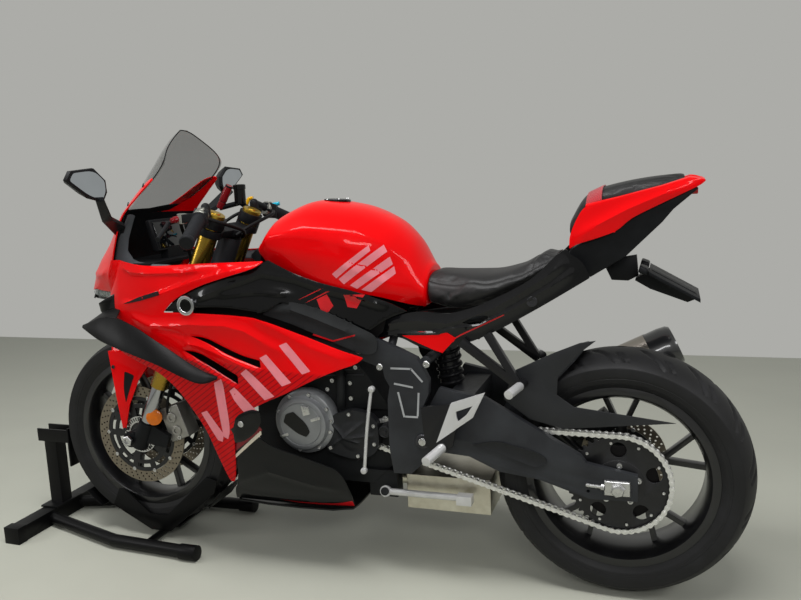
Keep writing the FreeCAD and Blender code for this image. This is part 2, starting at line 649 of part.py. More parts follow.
arm_outline = [(PIVOT_X + 24, PIVOT_Z + 22), (436, 545), (386, 534), (320, 524), (197, 454),
               (88, 390), (74, 371), (-45, 348), (-45, 285), (66, 282), (187, 321), (287, 334), (363, 368),
               (PIVOT_X + 10, PIVOT_Z - 30)]
axle_rod = disc(0, REAR_Z, REAR_AXLE_R, -ARM_Y - ARM_T - 14, ARM_Y + ARM_T + 14)
arms = both(plate(arm_outline, ARM_Y, ARM_Y + ARM_T))
upper_bridge = box(356, 424, -ARM_Y, ARM_Y, 466, 520)
pivot_tube = disc(PIVOT_X, PIVOT_Z, 24, -90, 90)
lower_bridge = plate([(PIVOT_X, PIVOT_Z + 20), (345, PIVOT_Z + 10), (345, PIVOT_Z - 30),
                      (PIVOT_X, PIVOT_Z - 22)], -88, 88)
post_bridge = box(372, 410, -60, 60, PIVOT_Z, 470)
arm_links = [disc(PIVOT_X, PIVOT_Z, 18, -ARM_Y - 1, ARM_Y + 1)]
swingarm = join(arms + [upper_bridge, pivot_tube, lower_bridge, post_bridge] + arm_links)
BOBBIN_X = 70.0
BOBBIN_Z = 302.0
BOBBIN_HOLE_R = 4.0
BOBBIN_DEPTH = 18.0
arm_face = ARM_Y + ARM_T
bobbin_holes = both(disc(BOBBIN_X, BOBBIN_Z, BOBBIN_HOLE_R, arm_face - BOBBIN_DEPTH, arm_face + 1))
node("swingarm", swingarm.cut([axle_rod, pivot_bolt] + bobbin_holes))
node("rear_axle", axle_rod, pivot_bolt)
node("rear_shock", join([rod((440, 0, 521), (452, 0, 640), 30), rod((436, 0, 521), (455, 0, 668), 12)]).cut(frame))

rear_c = V(0, 0, REAR_Z)
drive_c = V(DRIVE_X, 0, DRIVE_Z)
span = drive_c - rear_c
chain_lean = math.asin((SPROCKET_R - DRIVE_SPROCKET_R) / span.Length)
along = math.atan2(span.z, span.x)
TOP_RUN = along + math.pi / 2 - chain_lean
LOW_RUN = along - math.pi / 2 + chain_lean


def loop_face(grow, y):
    """The chain's closed line round both sprockets, grown sideways, as a face at y."""
    def at(centre, radius, a):
        return V(centre.x + radius * math.cos(a), y, centre.z + radius * math.sin(a))
    rear, drive = SPROCKET_R + grow, DRIVE_SPROCKET_R + grow
    return Part.Face(Part.Wire([
        Part.makeLine(at(rear_c, rear, TOP_RUN), at(drive_c, drive, TOP_RUN)),
        Part.Arc(at(drive_c, drive, TOP_RUN), at(drive_c, drive, along),
                 at(drive_c, drive, LOW_RUN)).toShape(),
        Part.makeLine(at(drive_c, drive, LOW_RUN), at(rear_c, rear, LOW_RUN)),
        Part.Arc(at(rear_c, rear, LOW_RUN), at(rear_c, rear, along + math.pi),
                 at(rear_c, rear, TOP_RUN)).toShape(),
    ]))


chain_pieces = []
for y in (CHAIN_Y - CHAIN_GAP / 2 - CHAIN_PLATE_T, CHAIN_Y + CHAIN_GAP / 2):
    outer = loop_face(CHAIN_BAND / 2, y).extrude(V(0, CHAIN_PLATE_T, 0))
    inner = loop_face(-CHAIN_BAND / 2, y - 1).extrude(V(0, CHAIN_PLATE_T + 2, 0))
    chain_pieces.append(outer.cut(inner))
for a in (TOP_RUN, LOW_RUN):
    for t in (0.3, 0.5, 0.7, 0.9):
        r = SPROCKET_R + (DRIVE_SPROCKET_R - SPROCKET_R) * t
        c = rear_c + span * t
        chain_pieces.append(disc(c.x + r * math.cos(a), c.z + r * math.sin(a), 4,
                                 CHAIN_Y - CHAIN_GAP / 2 - 1, CHAIN_Y + CHAIN_GAP / 2 + 1))
node("drive_chain", join(chain_pieces))

caliper = box(-34, 22, -24, 24, -42, 42).cut(
    box(-35, 6, -DISC_T / 2 - MOVING_GAP, DISC_T / 2 + MOVING_GAP, -43, 43))
caliper.rotate(V(0, 0, 0), V(0, 1, 0), -52)
a = math.radians(52)
caliper.translate(V(112 * math.cos(a), -DISC_REAR_Y, REAR_Z + 112 * math.sin(a)))
torque_arm = flat_bar((60, -ARM_Y + 5, REAR_Z + 74), (150, -ARM_Y + 5, REAR_Z + 30), 30, 9)
node("rear_caliper", join([caliper, torque_arm]).cut(nodes["swingarm"]))

# side stand, folded back along the frame; its eye turns on the leaning pin
eye = rod(along_pin(1), along_pin(STAND_EAR + 1), STAND_EYE_R)
leg_start = V(*along_pin(STAND_EAR / 2 + 1)) - V(13, 0, 0)
leg_end = leg_start - V(STAND_LEG, 0, 0)
foot = box(leg_end.x - 14, leg_end.x + 26, leg_end.y - 8, leg_end.y + 22, leg_end.z - 12, leg_end.z + 12)
node("side_stand", join([eye, rod(tuple(leg_start), tuple(leg_end), STAND_LEG_R), foot]).cut(
    rod(along_pin(-30), along_pin(STAND_EAR + 1.9), STAND_PIN_R + RUNNING_FIT)))

# ---- bodywork -----------------------------------------------------------------------

SKIN = 5.0


def fairing_form(grow):
    """The fairing's outer form on the left, drawn in by the given amount.

    Columns: x, top z, then half widths at z 860, 740, 560, 400 and 260.
    """
    rows = [
        (1420, 930, 135, 160, 150, 120, 90),
        (1330, 930, 205, 215, 205, 190, 160),
        (1200, 900, 236, 245, 232, 214, 188),
        (1000, 892, 236, 255, 246, 225, 194),
        (860, 892, 222, 250, 250, 220, 194),
        (700, 862, 192, 222, 230, 212, 188),
        (600, 802, 172, 202, 218, 206, 182),
    ]
    wires = []
    for x, top, w860, w740, w560, w400, w260 in rows:
        pts = [(0, top), (w860 - 30, top), (w860, min(860, top - 5)), (w740, 740), (w560, 560),
               (w400, 400), (w260, 260), (w260 - 26, 186), (0, 186)]
        corners = [V(x, max(y - grow, 0) if y else 0, z) for y, z in pts]
        wires.append(Part.makePolygon(corners + corners[:1]))
    return closed_loft(wires)


fairing_skin = fairing_form(0).cut(fairing_form(SKIN))


def panel(outline):
    return fairing_skin.common(plate(outline, 1, 400))


side_panel = panel([
    (1398, 772), (1330, 888), (1268, 876), (1194, 872), (1050, 879), (876, 879), (899, 863),
    (976, 843), (1056, 820), (1131, 785), (1169, 750), (1113, 751), (973, 747), (875, 738),
    (778, 700), (675, 656), (609, 634), (628, 618), (679, 602), (739, 578), (811, 543), (880, 514),
    (965, 472), (988, 410), (1000, 348), (1014, 281), (1029, 266), (1038, 275), (1056, 344),
    (1074, 409), (1095, 451), (1129, 502), (1159, 540), (1214, 581), (1373, 633)])
vents = [
    plate([(1082, 685), (1040, 684), (960, 655), (889, 612), (900, 605), (960, 632), (1050, 662)], 1, 400),
    plate([(1111, 646), (1080, 650), (1020, 615), (962, 566), (975, 558), (1030, 596), (1090, 628)], 1, 400),
]
side_panel = side_panel.cut(Part.makeCompound(vents))
node("side_fairing_left", side_panel)
node("side_fairing_right", mirrored(side_panel))


def insert_form(grow):
    """The side inserts' outer form, which runs in towards the tank's foot.

    Columns: x, then half widths at z 900, 740 and 640.
    """
    wires = []
    for x, w900, w740, w640 in ((1200, 228, 244, 240), (1000, 230, 252, 250), (880, 204, 232, 236),
                                (780, 176, 200, 214), (640, 158, 166, 174), (490, 146, 154, 158)):
        corners = [V(x, y, z) for y, z in ((0, 900), (w900 - grow, 900), (w740 - grow, 740),
                                           (w640 - grow, 640), (0, 640))]
        wires.append(Part.makePolygon(corners + corners[:1]))
    return closed_loft(wires)


insert = insert_form(0).cut(insert_form(SKIN)).common(plate([
    (1113, 752), (1168, 751), (1129, 786), (1054, 821), (975, 843), (900, 862), (866, 884),
    (801, 846), (728, 818), (646, 797), (555, 767), (508, 744), (561, 726), (612, 690), (729, 735),
    (831, 774), (878, 744), (973, 750)], 1, 400))
insert = insert.cut(side_panel)

belly_side = fairing_skin.common(plate(
    [(1048, 200), (1010, 262), (996, 345), (984, 410), (962, 466), (930, 415), (885, 380), (740, 335),
     (700, 315), (690, 200)], 1, 400))
belly_floor = slab([(690, 170), (1048, 160), (1060, 120), (1060, -120), (1048, -160), (690, -170)],
                   188, 194)
node("belly_pan", join(both(belly_side) + [belly_floor]))


BOW = 1.3


def bowed_form(rows, grow):
    """A form through level sections: two arcs that meet in a keel, and a straight back.

    Columns: z, front x on the centre line, x of the sides, half width of the sides.
    """
    wires = []
    for z, front, side_x, half_wide in rows:
        tip = V(front - grow * BOW, 0, z)
        wide = half_wide - grow
        mid_x = side_x + (tip.x - side_x) * (1 - 0.5 ** BOW)
        a, c = V(side_x, -wide, z), V(side_x, wide, z)
        wires.append(Part.Wire([Part.Arc(a, V(mid_x, -wide / 2, z), tip).toShape(),
                                Part.Arc(tip, V(mid_x, wide / 2, z), c).toShape(), Part.makeLine(c, a)]))
    return closed_loft(wires)


NOSE = [
    (770, 1592, 1410, 128),
    (860, 1545, 1352, 198),
    (930, 1486, 1332, 198),
    (1000, 1437, 1312, 190),
    (1060, 1388, 1257, 182),
    (1110, 1350, 1200, 174),
]
SCREEN = [
    (1006, 1430, 1372, 126),
    (1060, 1386, 1278, 150),
    (1120, 1338, 1200, 156),
    (1153, 1309, 1177, 150),
    (1182, 1285, 1186, 128),
    (1212, 1259, 1200, 80),
    (1234, 1238, 1208, 38),
    (1244, 1226, 1212, 16),
]
SCREEN_T = 4.0
nose_skin = bowed_form(NOSE, 0).cut(bowed_form(NOSE, SKIN))
screen_gap = plate([(1500, 1004), (1150, 1004), (1150, 1200), (1500, 1200)], -140, 140)
lamp_gap = plate([(1600, 768), (1470, 768), (1440, 812), (1600, 800)], 34, 118)
nose = nose_skin.cut(screen_gap).cut(Part.makeCompound(both(lamp_gap)))
node("nose_cowl", nose.cut(fairing_form(0)).cut(mirrored(fairing_form(0))))
screen = bowed_form(SCREEN, 0).cut(bowed_form(SCREEN, SCREEN_T))
node("windscreen", screen.cut(nodes["nose_cowl"]))
lamp = bowed_form(NOSE, SKIN + 1).common(plate([(1600, 772), (1480, 772), (1450, 808), (1600, 798)],
                                               38, 112))
node("headlamps", *both(lamp))
dash = plate([(1288, 900), (1314, 986), (1306, 989), (1278, 903)], -84, 84)
cowl = slab([(1400, -120), (1400, 120), (1300, 176), (1240, 186), (1240, -186), (1300, -176)], 868, 876)
node("inner_cowl", join([cowl, dash, box(1278, 1303, -40, 40, 870, 910)]))

WING = [
    # x, then y and z of the upper edge, then y and z of the lower edge
    (1462, 220, 708, 224, 698),
    (1421, 231, 718, 246, 687),
    (1379, 239, 732, 264, 674),
    (1333, 245, 734, 279, 663),
    (1268, 256, 716, 292, 647),
    (1169, 266, 672, 300, 618),
    (1095, 266, 630, 297, 586),
    (1041, 260, 596, 281, 568),
    (1013, 252, 580, 257, 573),
]
WING_T = 8.0
wing = closed_loft([Part.makePolygon([V(x, y0, z0), V(x, y1, z1), V(x, y1 - WING_T, z1 - 2),
                                      V(x, y0 - WING_T, z0 - 2), V(x, y0, z0)])
                    for x, y0, z0, y1, z1 in WING])
wing = wing.cut(fairing_form(0))
strut = box(1240, 1300, 215, 262, 676, 690)
wing = join([wing, strut.cut(fairing_form(0)).cut(wing)])
node("winglets", *both(wing))

TANK_FRONT_X = 918.0
TANK = [
    # x, half width, floor, side top, crown
    (TANK_FRONT_X, 148, 885, 905, 935),
    (876, 172, 855, 930, 992),
    (780, 186, 830, 935, 1026),
    (680, 178, 800, 915, 1012),
    (580, 150, 775, 870, 972),
    (520, 122, 755, 825, 918),
    (482, 100, 745, 780, 850),
]
CAP_R = 36.0
tank = arch_body(TANK).fuse(Part.makeCylinder(CAP_R, 14, V(745, 0, 1015), V(-0.08, 0, 1)))
node("fuel_tank", tank.cut(frame))
node("side_inserts", *both(insert.cut(tank)))

# black cover that closes the gap between the tank's front and the steering head
HEAD_COVER = [
    # x, half width, floor, side top, crown
    (988, 66, 876, 884, 900),
    (950, 108, 868, 900, 918),
    (TANK_FRONT_X, 140, 868, 902, 932),
]
node("head_cover", arch_body(HEAD_COVER))

SEAT = [
    # x, half width, floor, side top, crown
    (478, 92, 760, 800, 838),
    (403, 118, 745, 795, 828),
    (322, 138, 762, 800, 826),
    (242, 132, 795, 820, 841),
    (190, 118, 822, 845, 868),
    (142, 96, 856, 872, 891),
]
PILLION = [
    # x, half width, floor, side top, crown
    (118, 70, 905, 930, 945),
    (74, 96, 935, 995, 1013),
    (30, 96, 960, 1010, 1031),
    (-70, 86, 995, 1030, 1048),
    (-150, 60, 1024, 1040, 1054),
]
node("rider_seat", arch_body(SEAT).cut(Part.makeCompound(rear_rails)).cut(tank))
node("pillion_seat", arch_body(PILLION))

tail_outline = [(110, 892), (109, 921), (79, 986), (61, 993), (-4, 1008), (-94, 1029), (-153, 1046),
                (-186, 1038), (-145, 1014), (-26, 958), (3, 930), (96, 901)]
node("tail_cowl", *both(plate(tail_outline, 101, 118)))
tail_box = plate([(128, 850), (111, 888), (88, 902), (-60, 985), (-158, 1022), (-172, 1021),
                  (-119, 976), (-95, 947), (-16, 870), (65, 821)], -98, 98)
tail_lamp = box(-172, -150, -45, 45, 1006, 1022)
node("tail_lamp", tail_lamp)
node("undertail", tail_box.cut(arch_body(PILLION)).cut(arch_body(SEAT)).cut(tail_lamp).cut(
    Part.makeCompound(rear_rails)))
PANEL_Y = 122.0
PANEL_T = 18.0
side_cover = plate([(629, 698), (561, 722), (508, 739), (409, 735), (326, 758), (241, 797), (193, 826),
                    (154, 864), (117, 894), (108, 880), (80, 862), (63, 823), (118, 790), (175, 756),
                    (283, 695), (355, 663), (444, 640), (486, 649), (540, 678), (613, 669)],
                   PANEL_Y, PANEL_Y + PANEL_T)
cover_window = plate([(371, 714), (336, 733), (306, 733), (303, 726), (336, 708)],
                     PANEL_Y - 1, PANEL_Y + PANEL_T + 1)
side_cover = side_cover.cut(cover_window)
node("seat_panels", *[p.cut([arch_body(SEAT), tank, frame]) for p in both(side_cover)])

hanger = plate([(42, 846), (-3, 857), (-36, 862), (-40, 813), (-17, 801), (22, 803)], -16, 16)
holder = plate([(-33, 805), (-60, 824), (-72, 830), (-172, 773), (-176, 762), (-152, 752), (-68, 784)],
               -38, 38)
plate_back = plate([(-66, 832), (-179, 767), (-179, 759), (-66, 824)], -88, 88)
node("plate_bracket", join([hanger, holder, plate_back]).cut(tail_box))

hugger_r = REAR_TYRE_R + 14
hugger_half = REAR_TYRE_HALF + 14
hugger = turned([(-hugger_half, REAR_TYRE_R - 50), (-hugger_half + 22, hugger_r - 14), (-34, hugger_r + 4),
                 (34, hugger_r + 4), (hugger_half - 22, hugger_r - 14), (hugger_half, REAR_TYRE_R - 50),
                 (hugger_half - 4, REAR_TYRE_R - 50), (hugger_half - 25, hugger_r - 18), (33, hugger_r),
                 (-33, hugger_r), (-hugger_half + 25, hugger_r - 18),
                 (-hugger_half + 4, REAR_TYRE_R - 50)], 0, REAR_Z)
hugger = hugger.common(plate([(240, REAR_Z + 146), (152, REAR_Z + 245), (54, REAR_Z + 352), (54, REAR_Z + 500),
                              (500, REAR_Z + 500), (500, REAR_Z + 146)], -120, 120))
chain_guard = plate([(248, 592), (150, 640), (88, 666), (51, 672), (88, 642), (141, 581), (144, 535),
                     (104, 507), (-17, 491), (-129, 479), (38, 461), (129, 450), (211, 470),
                     (275, 518)], CHAIN_Y + 12, CHAIN_Y + 16)
guard_link = box(150, 200, hugger_half - 30, CHAIN_Y + 14, 560, 590)
node("rear_hugger", join([hugger, chain_guard, guard_link]).cut(nodes["swingarm"]))

# mirrors on their stalks; the glass faces back
MIRROR_BACK_X = 1276.0
MIRROR_DEEP = 38.0
GLASS_EDGE = [(442, 1112), (424, 1134), (334, 1141), (290, 1108), (288, 1076), (306, 1052), (362, 1064)]
mid_y = sum(y for y, z in GLASS_EDGE) / len(GLASS_EDGE)
mid_z = sum(z for y, z in GLASS_EDGE) / len(GLASS_EDGE)


def mirror_ring(x, share):
    ring = [V(x, mid_y + (y - mid_y) * share, mid_z + (z - mid_z) * share) for y, z in GLASS_EDGE]
    return Part.makePolygon(ring + ring[:1])


head = closed_loft([mirror_ring(MIRROR_BACK_X, 0.96), mirror_ring(MIRROR_BACK_X + 8, 1.0),
                    mirror_ring(MIRROR_BACK_X + MIRROR_DEEP, 0.6)])
MIRROR_ARM = [
    # front edge's x, y, z, then rear edge's x, y, z, from the cowl up to the head
    (1368, 140, 948, 1314, 184, 990),
    (1328, 262, 1010, 1292, 262, 1012),
    (1290, 326, 1066, 1262, 326, 1066),
]
ARM_DROP = V(-6, 3, -11)
stalk = closed_loft([Part.makePolygon([V(*row[:3]), V(*row[3:]), V(*row[3:]) + ARM_DROP,
                                       V(*row[:3]) + ARM_DROP, V(*row[:3])]) for row in MIRROR_ARM])
node("mirrors", *[m.cut(nodes["nose_cowl"]) for m in both(join([head, stalk]))])

# rider's and passenger's footrests on their plates
rests = []
plate_y = FRAME_Y + FRAME_T
HEEL_T = 6.0
for side in (1, -1):
    y0, y1 = side * plate_y, side * (plate_y + HEEL_T)
    mount = plate([(478, 500), (398, 512), (385, 470), (398, 400), (440, 380), (470, 400)], y0, y1)
    heel = plate([(398, 515), (312, 545), (344, 480), (411, 431), (425, 446)], y0, y1).cut(
        plate([(385, 477), (387, 493), (344, 510), (360, 486), (382, 468)], y0 - 1, y1 + 1))
    peg = rod((423, y0, 398), (446, side * (plate_y + 85), 386), 12)
    rests.append(join([mount.cut(heel), heel, peg]).cut(pivot_bolt))
    y = side * (PANEL_Y + PANEL_T + 10)
    rests.append(join([flat_bar((372, y, 668), (228, y, 560), 20, 20),
                       flat_bar((306, y, 690), (228, y, 560), 18, 20),
                       rod((218, y, 570), (242, y + side * 82, 560), 11)]))
node("footrests", *rests)

# ---- checks of the set and export ---------------------------------------------------

for name, shape in nodes.items():
    if not shape.isValid() or not shape.Solids:
        print("not a valid solid:", name)

whole = FreeCAD.BoundBox()
for shape in nodes.values():
    whole.add(shape.optimalBoundingBox())
shift = V(-(whole.XMin + whole.XMax) / 2, 0, -whole.ZMin)


def tell(name, x, y, z):
    """Prints where a joint or a mount sits in the finished frame, in metres."""
    p = V(x, y, z) + shift
    print(name, [round(v / 1000, 6) for v in p])


tell("front_axle", FRONT_X, 0, FRONT_Z)
tell("rear_axle", 0, 0, REAR_Z)
tell("steering", *on_stem((HEAD_LOW + HEAD_TOP) / 2))
tell("side_stand", *stand_pin)
tell("stand_base", BEAM_X, 0, 0)
tell("bobbin_hole", BOBBIN_X, ARM_Y + ARM_T - BOBBIN_DEPTH / 2, BOBBIN_Z)
_, grip_inner, grip_tip = grip_lines[0]
tell("grip_inner", *grip_inner)
tell("grip_tip", *grip_tip)
tell("shift", 0, 0, 0)
print("steering_axis", list(FORK_UP))
print("side_stand_axis", list(STAND_AXIS))

os.makedirs("parts", exist_ok=True)
for name, shape in nodes.items():
    shape.translate(shift)
    shape.exportStep("parts/" + name + ".step")
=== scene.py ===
import json
import math

import bmesh
import bpy
import numpy as np
from mathutils import Matrix, Vector
from mathutils.geometry import delaunay_2d_cdt


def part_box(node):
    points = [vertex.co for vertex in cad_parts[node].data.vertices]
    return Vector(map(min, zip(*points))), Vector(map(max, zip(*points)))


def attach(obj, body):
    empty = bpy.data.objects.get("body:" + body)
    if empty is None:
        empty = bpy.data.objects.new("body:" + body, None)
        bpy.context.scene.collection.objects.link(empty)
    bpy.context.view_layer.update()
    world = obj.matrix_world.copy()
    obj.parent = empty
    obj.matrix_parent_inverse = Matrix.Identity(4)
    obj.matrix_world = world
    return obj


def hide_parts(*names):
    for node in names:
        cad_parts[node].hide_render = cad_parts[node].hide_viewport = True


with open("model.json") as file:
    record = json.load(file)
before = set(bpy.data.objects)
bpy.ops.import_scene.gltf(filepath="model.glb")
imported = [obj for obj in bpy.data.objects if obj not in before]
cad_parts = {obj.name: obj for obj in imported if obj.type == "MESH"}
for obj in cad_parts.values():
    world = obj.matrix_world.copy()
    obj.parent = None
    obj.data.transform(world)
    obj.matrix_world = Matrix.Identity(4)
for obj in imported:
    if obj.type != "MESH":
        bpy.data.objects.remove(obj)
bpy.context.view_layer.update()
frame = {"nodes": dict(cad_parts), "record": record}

# ---- Camera ----
# Handlebar height, two metres to the left and level with the rear axle. Every place
# below is counted in millimetres from the rear axle's foot, as the workshop drawing is.

rear_low, rear_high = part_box("rear_tyre")
AXLE_X = (rear_low[0] + rear_high[0]) / 2
REAR_Z = (rear_low[2] + rear_high[2]) / 2 * 1000
front_low, front_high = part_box("front_tyre")
FRONT_X = ((front_low[0] + front_high[0]) / 2 - AXLE_X) * 1000
FRONT_Z = (front_low[2] + front_high[2]) / 2 * 1000


def place(x, y, z):
    """Millimetres from the rear axle's foot to the frame's metres."""
    return Vector((AXLE_X + x / 1000, y / 1000, z / 1000))


EYE = (-114, 2054, 1083)
YAW, PITCH, ROLL = -1.213, -0.161, -0.051
eye_data = bpy.data.cameras.new("viewer_camera")
eye_data.sensor_width = 36.0
eye_data.lens = 36.15
eye_data.shift_x, eye_data.shift_y = 0.033, 0.009
eye = bpy.data.objects.new("viewer_camera", eye_data)
bpy.context.scene.collection.objects.link(eye)
ahead = Vector((math.cos(PITCH) * math.cos(YAW), math.cos(PITCH) * math.sin(YAW), math.sin(PITCH)))
across = ahead.cross(Vector((0, 0, 1))).normalized()
upward = across.cross(ahead)
right = math.cos(ROLL) * across + math.sin(ROLL) * upward
top = math.cos(ROLL) * upward - math.sin(ROLL) * across
turn = Matrix((right, top, -ahead)).transposed().to_4x4()
eye.matrix_world = Matrix.Translation(place(*EYE)) @ turn
bpy.context.scene.camera = eye

# ---- Tyres ----
# Road rubber, 120 wide in front and 180 at the rear. The crown is worn smooth and
# slightly grey, with slanted water grooves, and the sidewalls carry moulded rings.


class Tone:
    """A number or a colour inside a material; arithmetic on it adds Math nodes."""

    def __init__(self, tree, socket=None):
        self.tree, self.socket = tree, socket

    def node(self, kind, settings=None, take=0, **values):
        made = self.tree.nodes.new(kind)
        for key, value in (settings or {}).items():
            if key == "stops":
                ramp = made.color_ramp
                while len(ramp.elements) < len(value):
                    ramp.elements.new(0.5)
                for stop, (at, colour) in zip(ramp.elements, value):
                    stop.position = at
                    stop.color = (*colour, 1.0)
            else:
                setattr(made, key, value)
        for key, value in values.items():
            socket = made.inputs[int(key[1:])] if key[1:].isdigit() else made.inputs[key.replace("_", " ")]
            if isinstance(value, Tone):
                self.tree.links.new(value.socket, socket)
            else:
                socket.default_value = value
        return Tone(self.tree, made.outputs[take])

    def math(self, operation, other=0.0, third=0.0):
        return self.node("ShaderNodeMath", {"operation": operation}, i0=self, i1=other, i2=third)

    def __add__(self, other):
        return self.math("ADD", other)

    def __sub__(self, other):
        return self.math("SUBTRACT", other)

    def __mul__(self, other):
        return self.math("MULTIPLY", other)

    def __rsub__(self, other):
        return self.node("ShaderNodeMath", {"operation": "SUBTRACT"}, i0=other, i1=self)

    __radd__, __rmul__ = __add__, __mul__

    def step(self, low, high):
        """0 below low, 1 above high, with a smooth rise between."""
        return self.node("ShaderNodeMapRange", {"interpolation_type": "SMOOTHSTEP"},
                         i0=self, i1=low, i2=high)

    def blend(self, first, second):
        """The first colour where this is 0 and the second where it is 1."""
        return self.node("ShaderNodeMix", {"data_type": "RGBA"}, take=2, i0=self, i6=first, i7=second)


def colour(r, g, b):
    """A paint-chart colour, 0 to 255, as the light it gives back."""
    return tuple(((v / 255 + 0.055) / 1.055) ** 2.4 if v > 10 else v / 255 / 12.92
                 for v in (r, g, b)) + (1.0,)


class Finish:
    """A material: constants sit on the shader, and what varies is linked to it."""

    def __init__(self, name, **constants):
        self.material = bpy.data.materials.new(name)
        self.material.use_nodes = True
        tree = self.material.node_tree
        self.shader = next(n for n in tree.nodes if n.type == "BSDF_PRINCIPLED")
        for key, value in constants.items():
            self.shader.inputs[key.replace("_", " ")].default_value = value
        self.place = Tone(tree).node("ShaderNodeTexCoord", take=3)

    def noise(self, scale, detail=3.0, place=None, **more):
        return self.place.node("ShaderNodeTexNoise", i0=place or self.place, Scale=scale,
                               Detail=detail, **more)

    def axis(self, letter, place=None):
        parts = self.place.tree.nodes.new("ShaderNodeSeparateXYZ")
        self.place.tree.links.new((place or self.place).socket, parts.inputs[0])
        return Tone(self.place.tree, parts.outputs["XYZ".index(letter)])

    def link(self, **values):
        for key, value in values.items():
            self.place.tree.links.new(value.socket, self.shader.inputs[key.replace("_", " ")])
        return self

    def bump(self, height, depth, distance=0.001):
        return self.link(Normal=height.node("ShaderNodeBump", i0=depth, Distance=distance, Height=height))


def plain(name, base, rough, mottle=0.12, scale=25.0, grain=0.0, grain_scale=700.0, **constants):
    """A finish with uneven tone and shine, and a fine grain where one is asked for."""
    made = Finish(name, **{"Specular_IOR_Level": 0.5 if "Metallic" in constants else 0.12, **constants})
    cloud = made.noise(scale, 4.0)
    light, dark = (tuple(min(1.0, v * k) for v in base[:3]) + (1.0,) for k in (1 + mottle, 1 - mottle))
    made.link(Base_Color=cloud.step(0.3, 0.7).blend(dark, light),
              Roughness=cloud * (0.5 * rough) + 0.75 * rough)
    if grain:
        made.bump(made.noise(grain_scale, 2.0), grain)
    return made


def dress(node, finish):
    """Gives a CAD node its material."""
    slots = frame["nodes"][node].data.materials
    slots.clear()
    slots.append(finish.material)


def finished(name, verts, faces, finish, body, soften=35.0):
    """A mesh in metres as a piece that rides on a body, smooth but for its edges."""
    mesh = bpy.data.meshes.new(name)
    mesh.from_pydata([tuple(v) for v in verts], [], faces)
    piece = bpy.data.objects.new(name, mesh)
    bpy.context.scene.collection.objects.link(piece)
    tidy(piece)
    return settle(piece, finish, body, soften)


def tidy(piece, gap=1e-5):
    """Merges double points and turns every face outwards."""
    work = bmesh.new()
    work.from_mesh(piece.data)
    bmesh.ops.remove_doubles(work, verts=work.verts, dist=gap)
    bmesh.ops.recalc_face_normals(work, faces=work.faces)
    work.to_mesh(piece.data)
    work.free()


def settle(piece, finish, body, soften=35.0):
    """Bakes the modifiers in, shades the piece and lets it ride on its body."""
    if piece.modifiers:
        graph = bpy.context.evaluated_depsgraph_get()
        baked = bpy.data.meshes.new_from_object(piece.evaluated_get(graph))
        piece.modifiers.clear()
        piece.data = baked
    piece.data.materials.clear()
    piece.data.materials.append(finish.material)
    piece.data.shade_smooth()
    piece.data.set_sharp_from_angle(angle=math.radians(soften))
    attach(piece, body)
    return piece


def rounded(node, finish, width=0.0012, angle=32.0, segments=2):
    """A CAD node with its edges broken, as a casting's or a welded bar's are."""
    mesh = frame["nodes"][node].data.copy()
    piece = bpy.data.objects.new(node + "_finished", mesh)
    bpy.context.scene.collection.objects.link(piece)
    work = bmesh.new()
    work.from_mesh(mesh)
    bmesh.ops.remove_doubles(work, verts=work.verts, dist=1e-5)
    bmesh.ops.dissolve_limit(work, angle_limit=math.radians(1.5), verts=work.verts, edges=work.edges)
    bmesh.ops.recalc_face_normals(work, faces=work.faces)
    work.to_mesh(mesh)
    work.free()
    edge = piece.modifiers.new("edge", "BEVEL")
    edge.width, edge.segments = width, segments
    edge.limit_method, edge.angle_limit = "ANGLE", math.radians(angle)
    edge.harden_normals = False
    body = next(b for b, names in frame["record"]["behaviour"]["bodies"].items() if node in names)
    settle(piece, finish, body, angle + 8)
    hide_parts(node)
    return piece


tyre_rubber = Finish("tyre_rubber", Roughness=0.55, Specular_IOR_Level=0.28)
dusty = tyre_rubber.noise(14, 5.0).step(0.45, 0.75)
fine = tyre_rubber.noise(260, 3.0)
tyre_rubber.link(Base_Color=(dusty * 0.5 + fine * 0.3).blend(colour(19, 19, 20), colour(36, 36, 38)),
                 Roughness=dusty * 0.12 + 0.52)
tyre_rubber.bump(fine + tyre_rubber.noise(1300, 1.0) * 0.5, 0.12, 0.0006)


def tyre_profile(radius, half, shoulder, bead_half):
    """Points (y, radius) from bead to bead over the crown, with the sidewall's rings."""
    side = [(bead_half - 1, 218), (bead_half + 1, 226), (bead_half + 6, 234)]
    side += [(half - 5, 243), (half - 4.2, 244.5), (half - 3.4, 246), (half - 2.6, 252),
        (half - 1.9, 252.4), (half - 1.2, 256), (half - 1.9, 256.6)]
    knee = radius - (half - shoulder) * 1.15
    for k in range(1, 7):
        t = k / 7
        side.append((half - 1.0 + 0.8 * math.sin(math.pi * t), 257 + (knee - 257) * t))
    crown = []
    for k in range(45):
        t = -1 + 2 * k / 44
        y = (half - 0.6) * math.sin(t * math.pi / 2 * 0.985) / math.sin(math.pi / 2 * 0.985)
        crown.append((y, knee + (radius - knee) * max(0.0, 1 - abs(y / (half - 0.6)) ** 2.25) ** 0.86))
    return [(-y, r) for y, r in side] + crown + [(y, r) for y, r in reversed(side)]


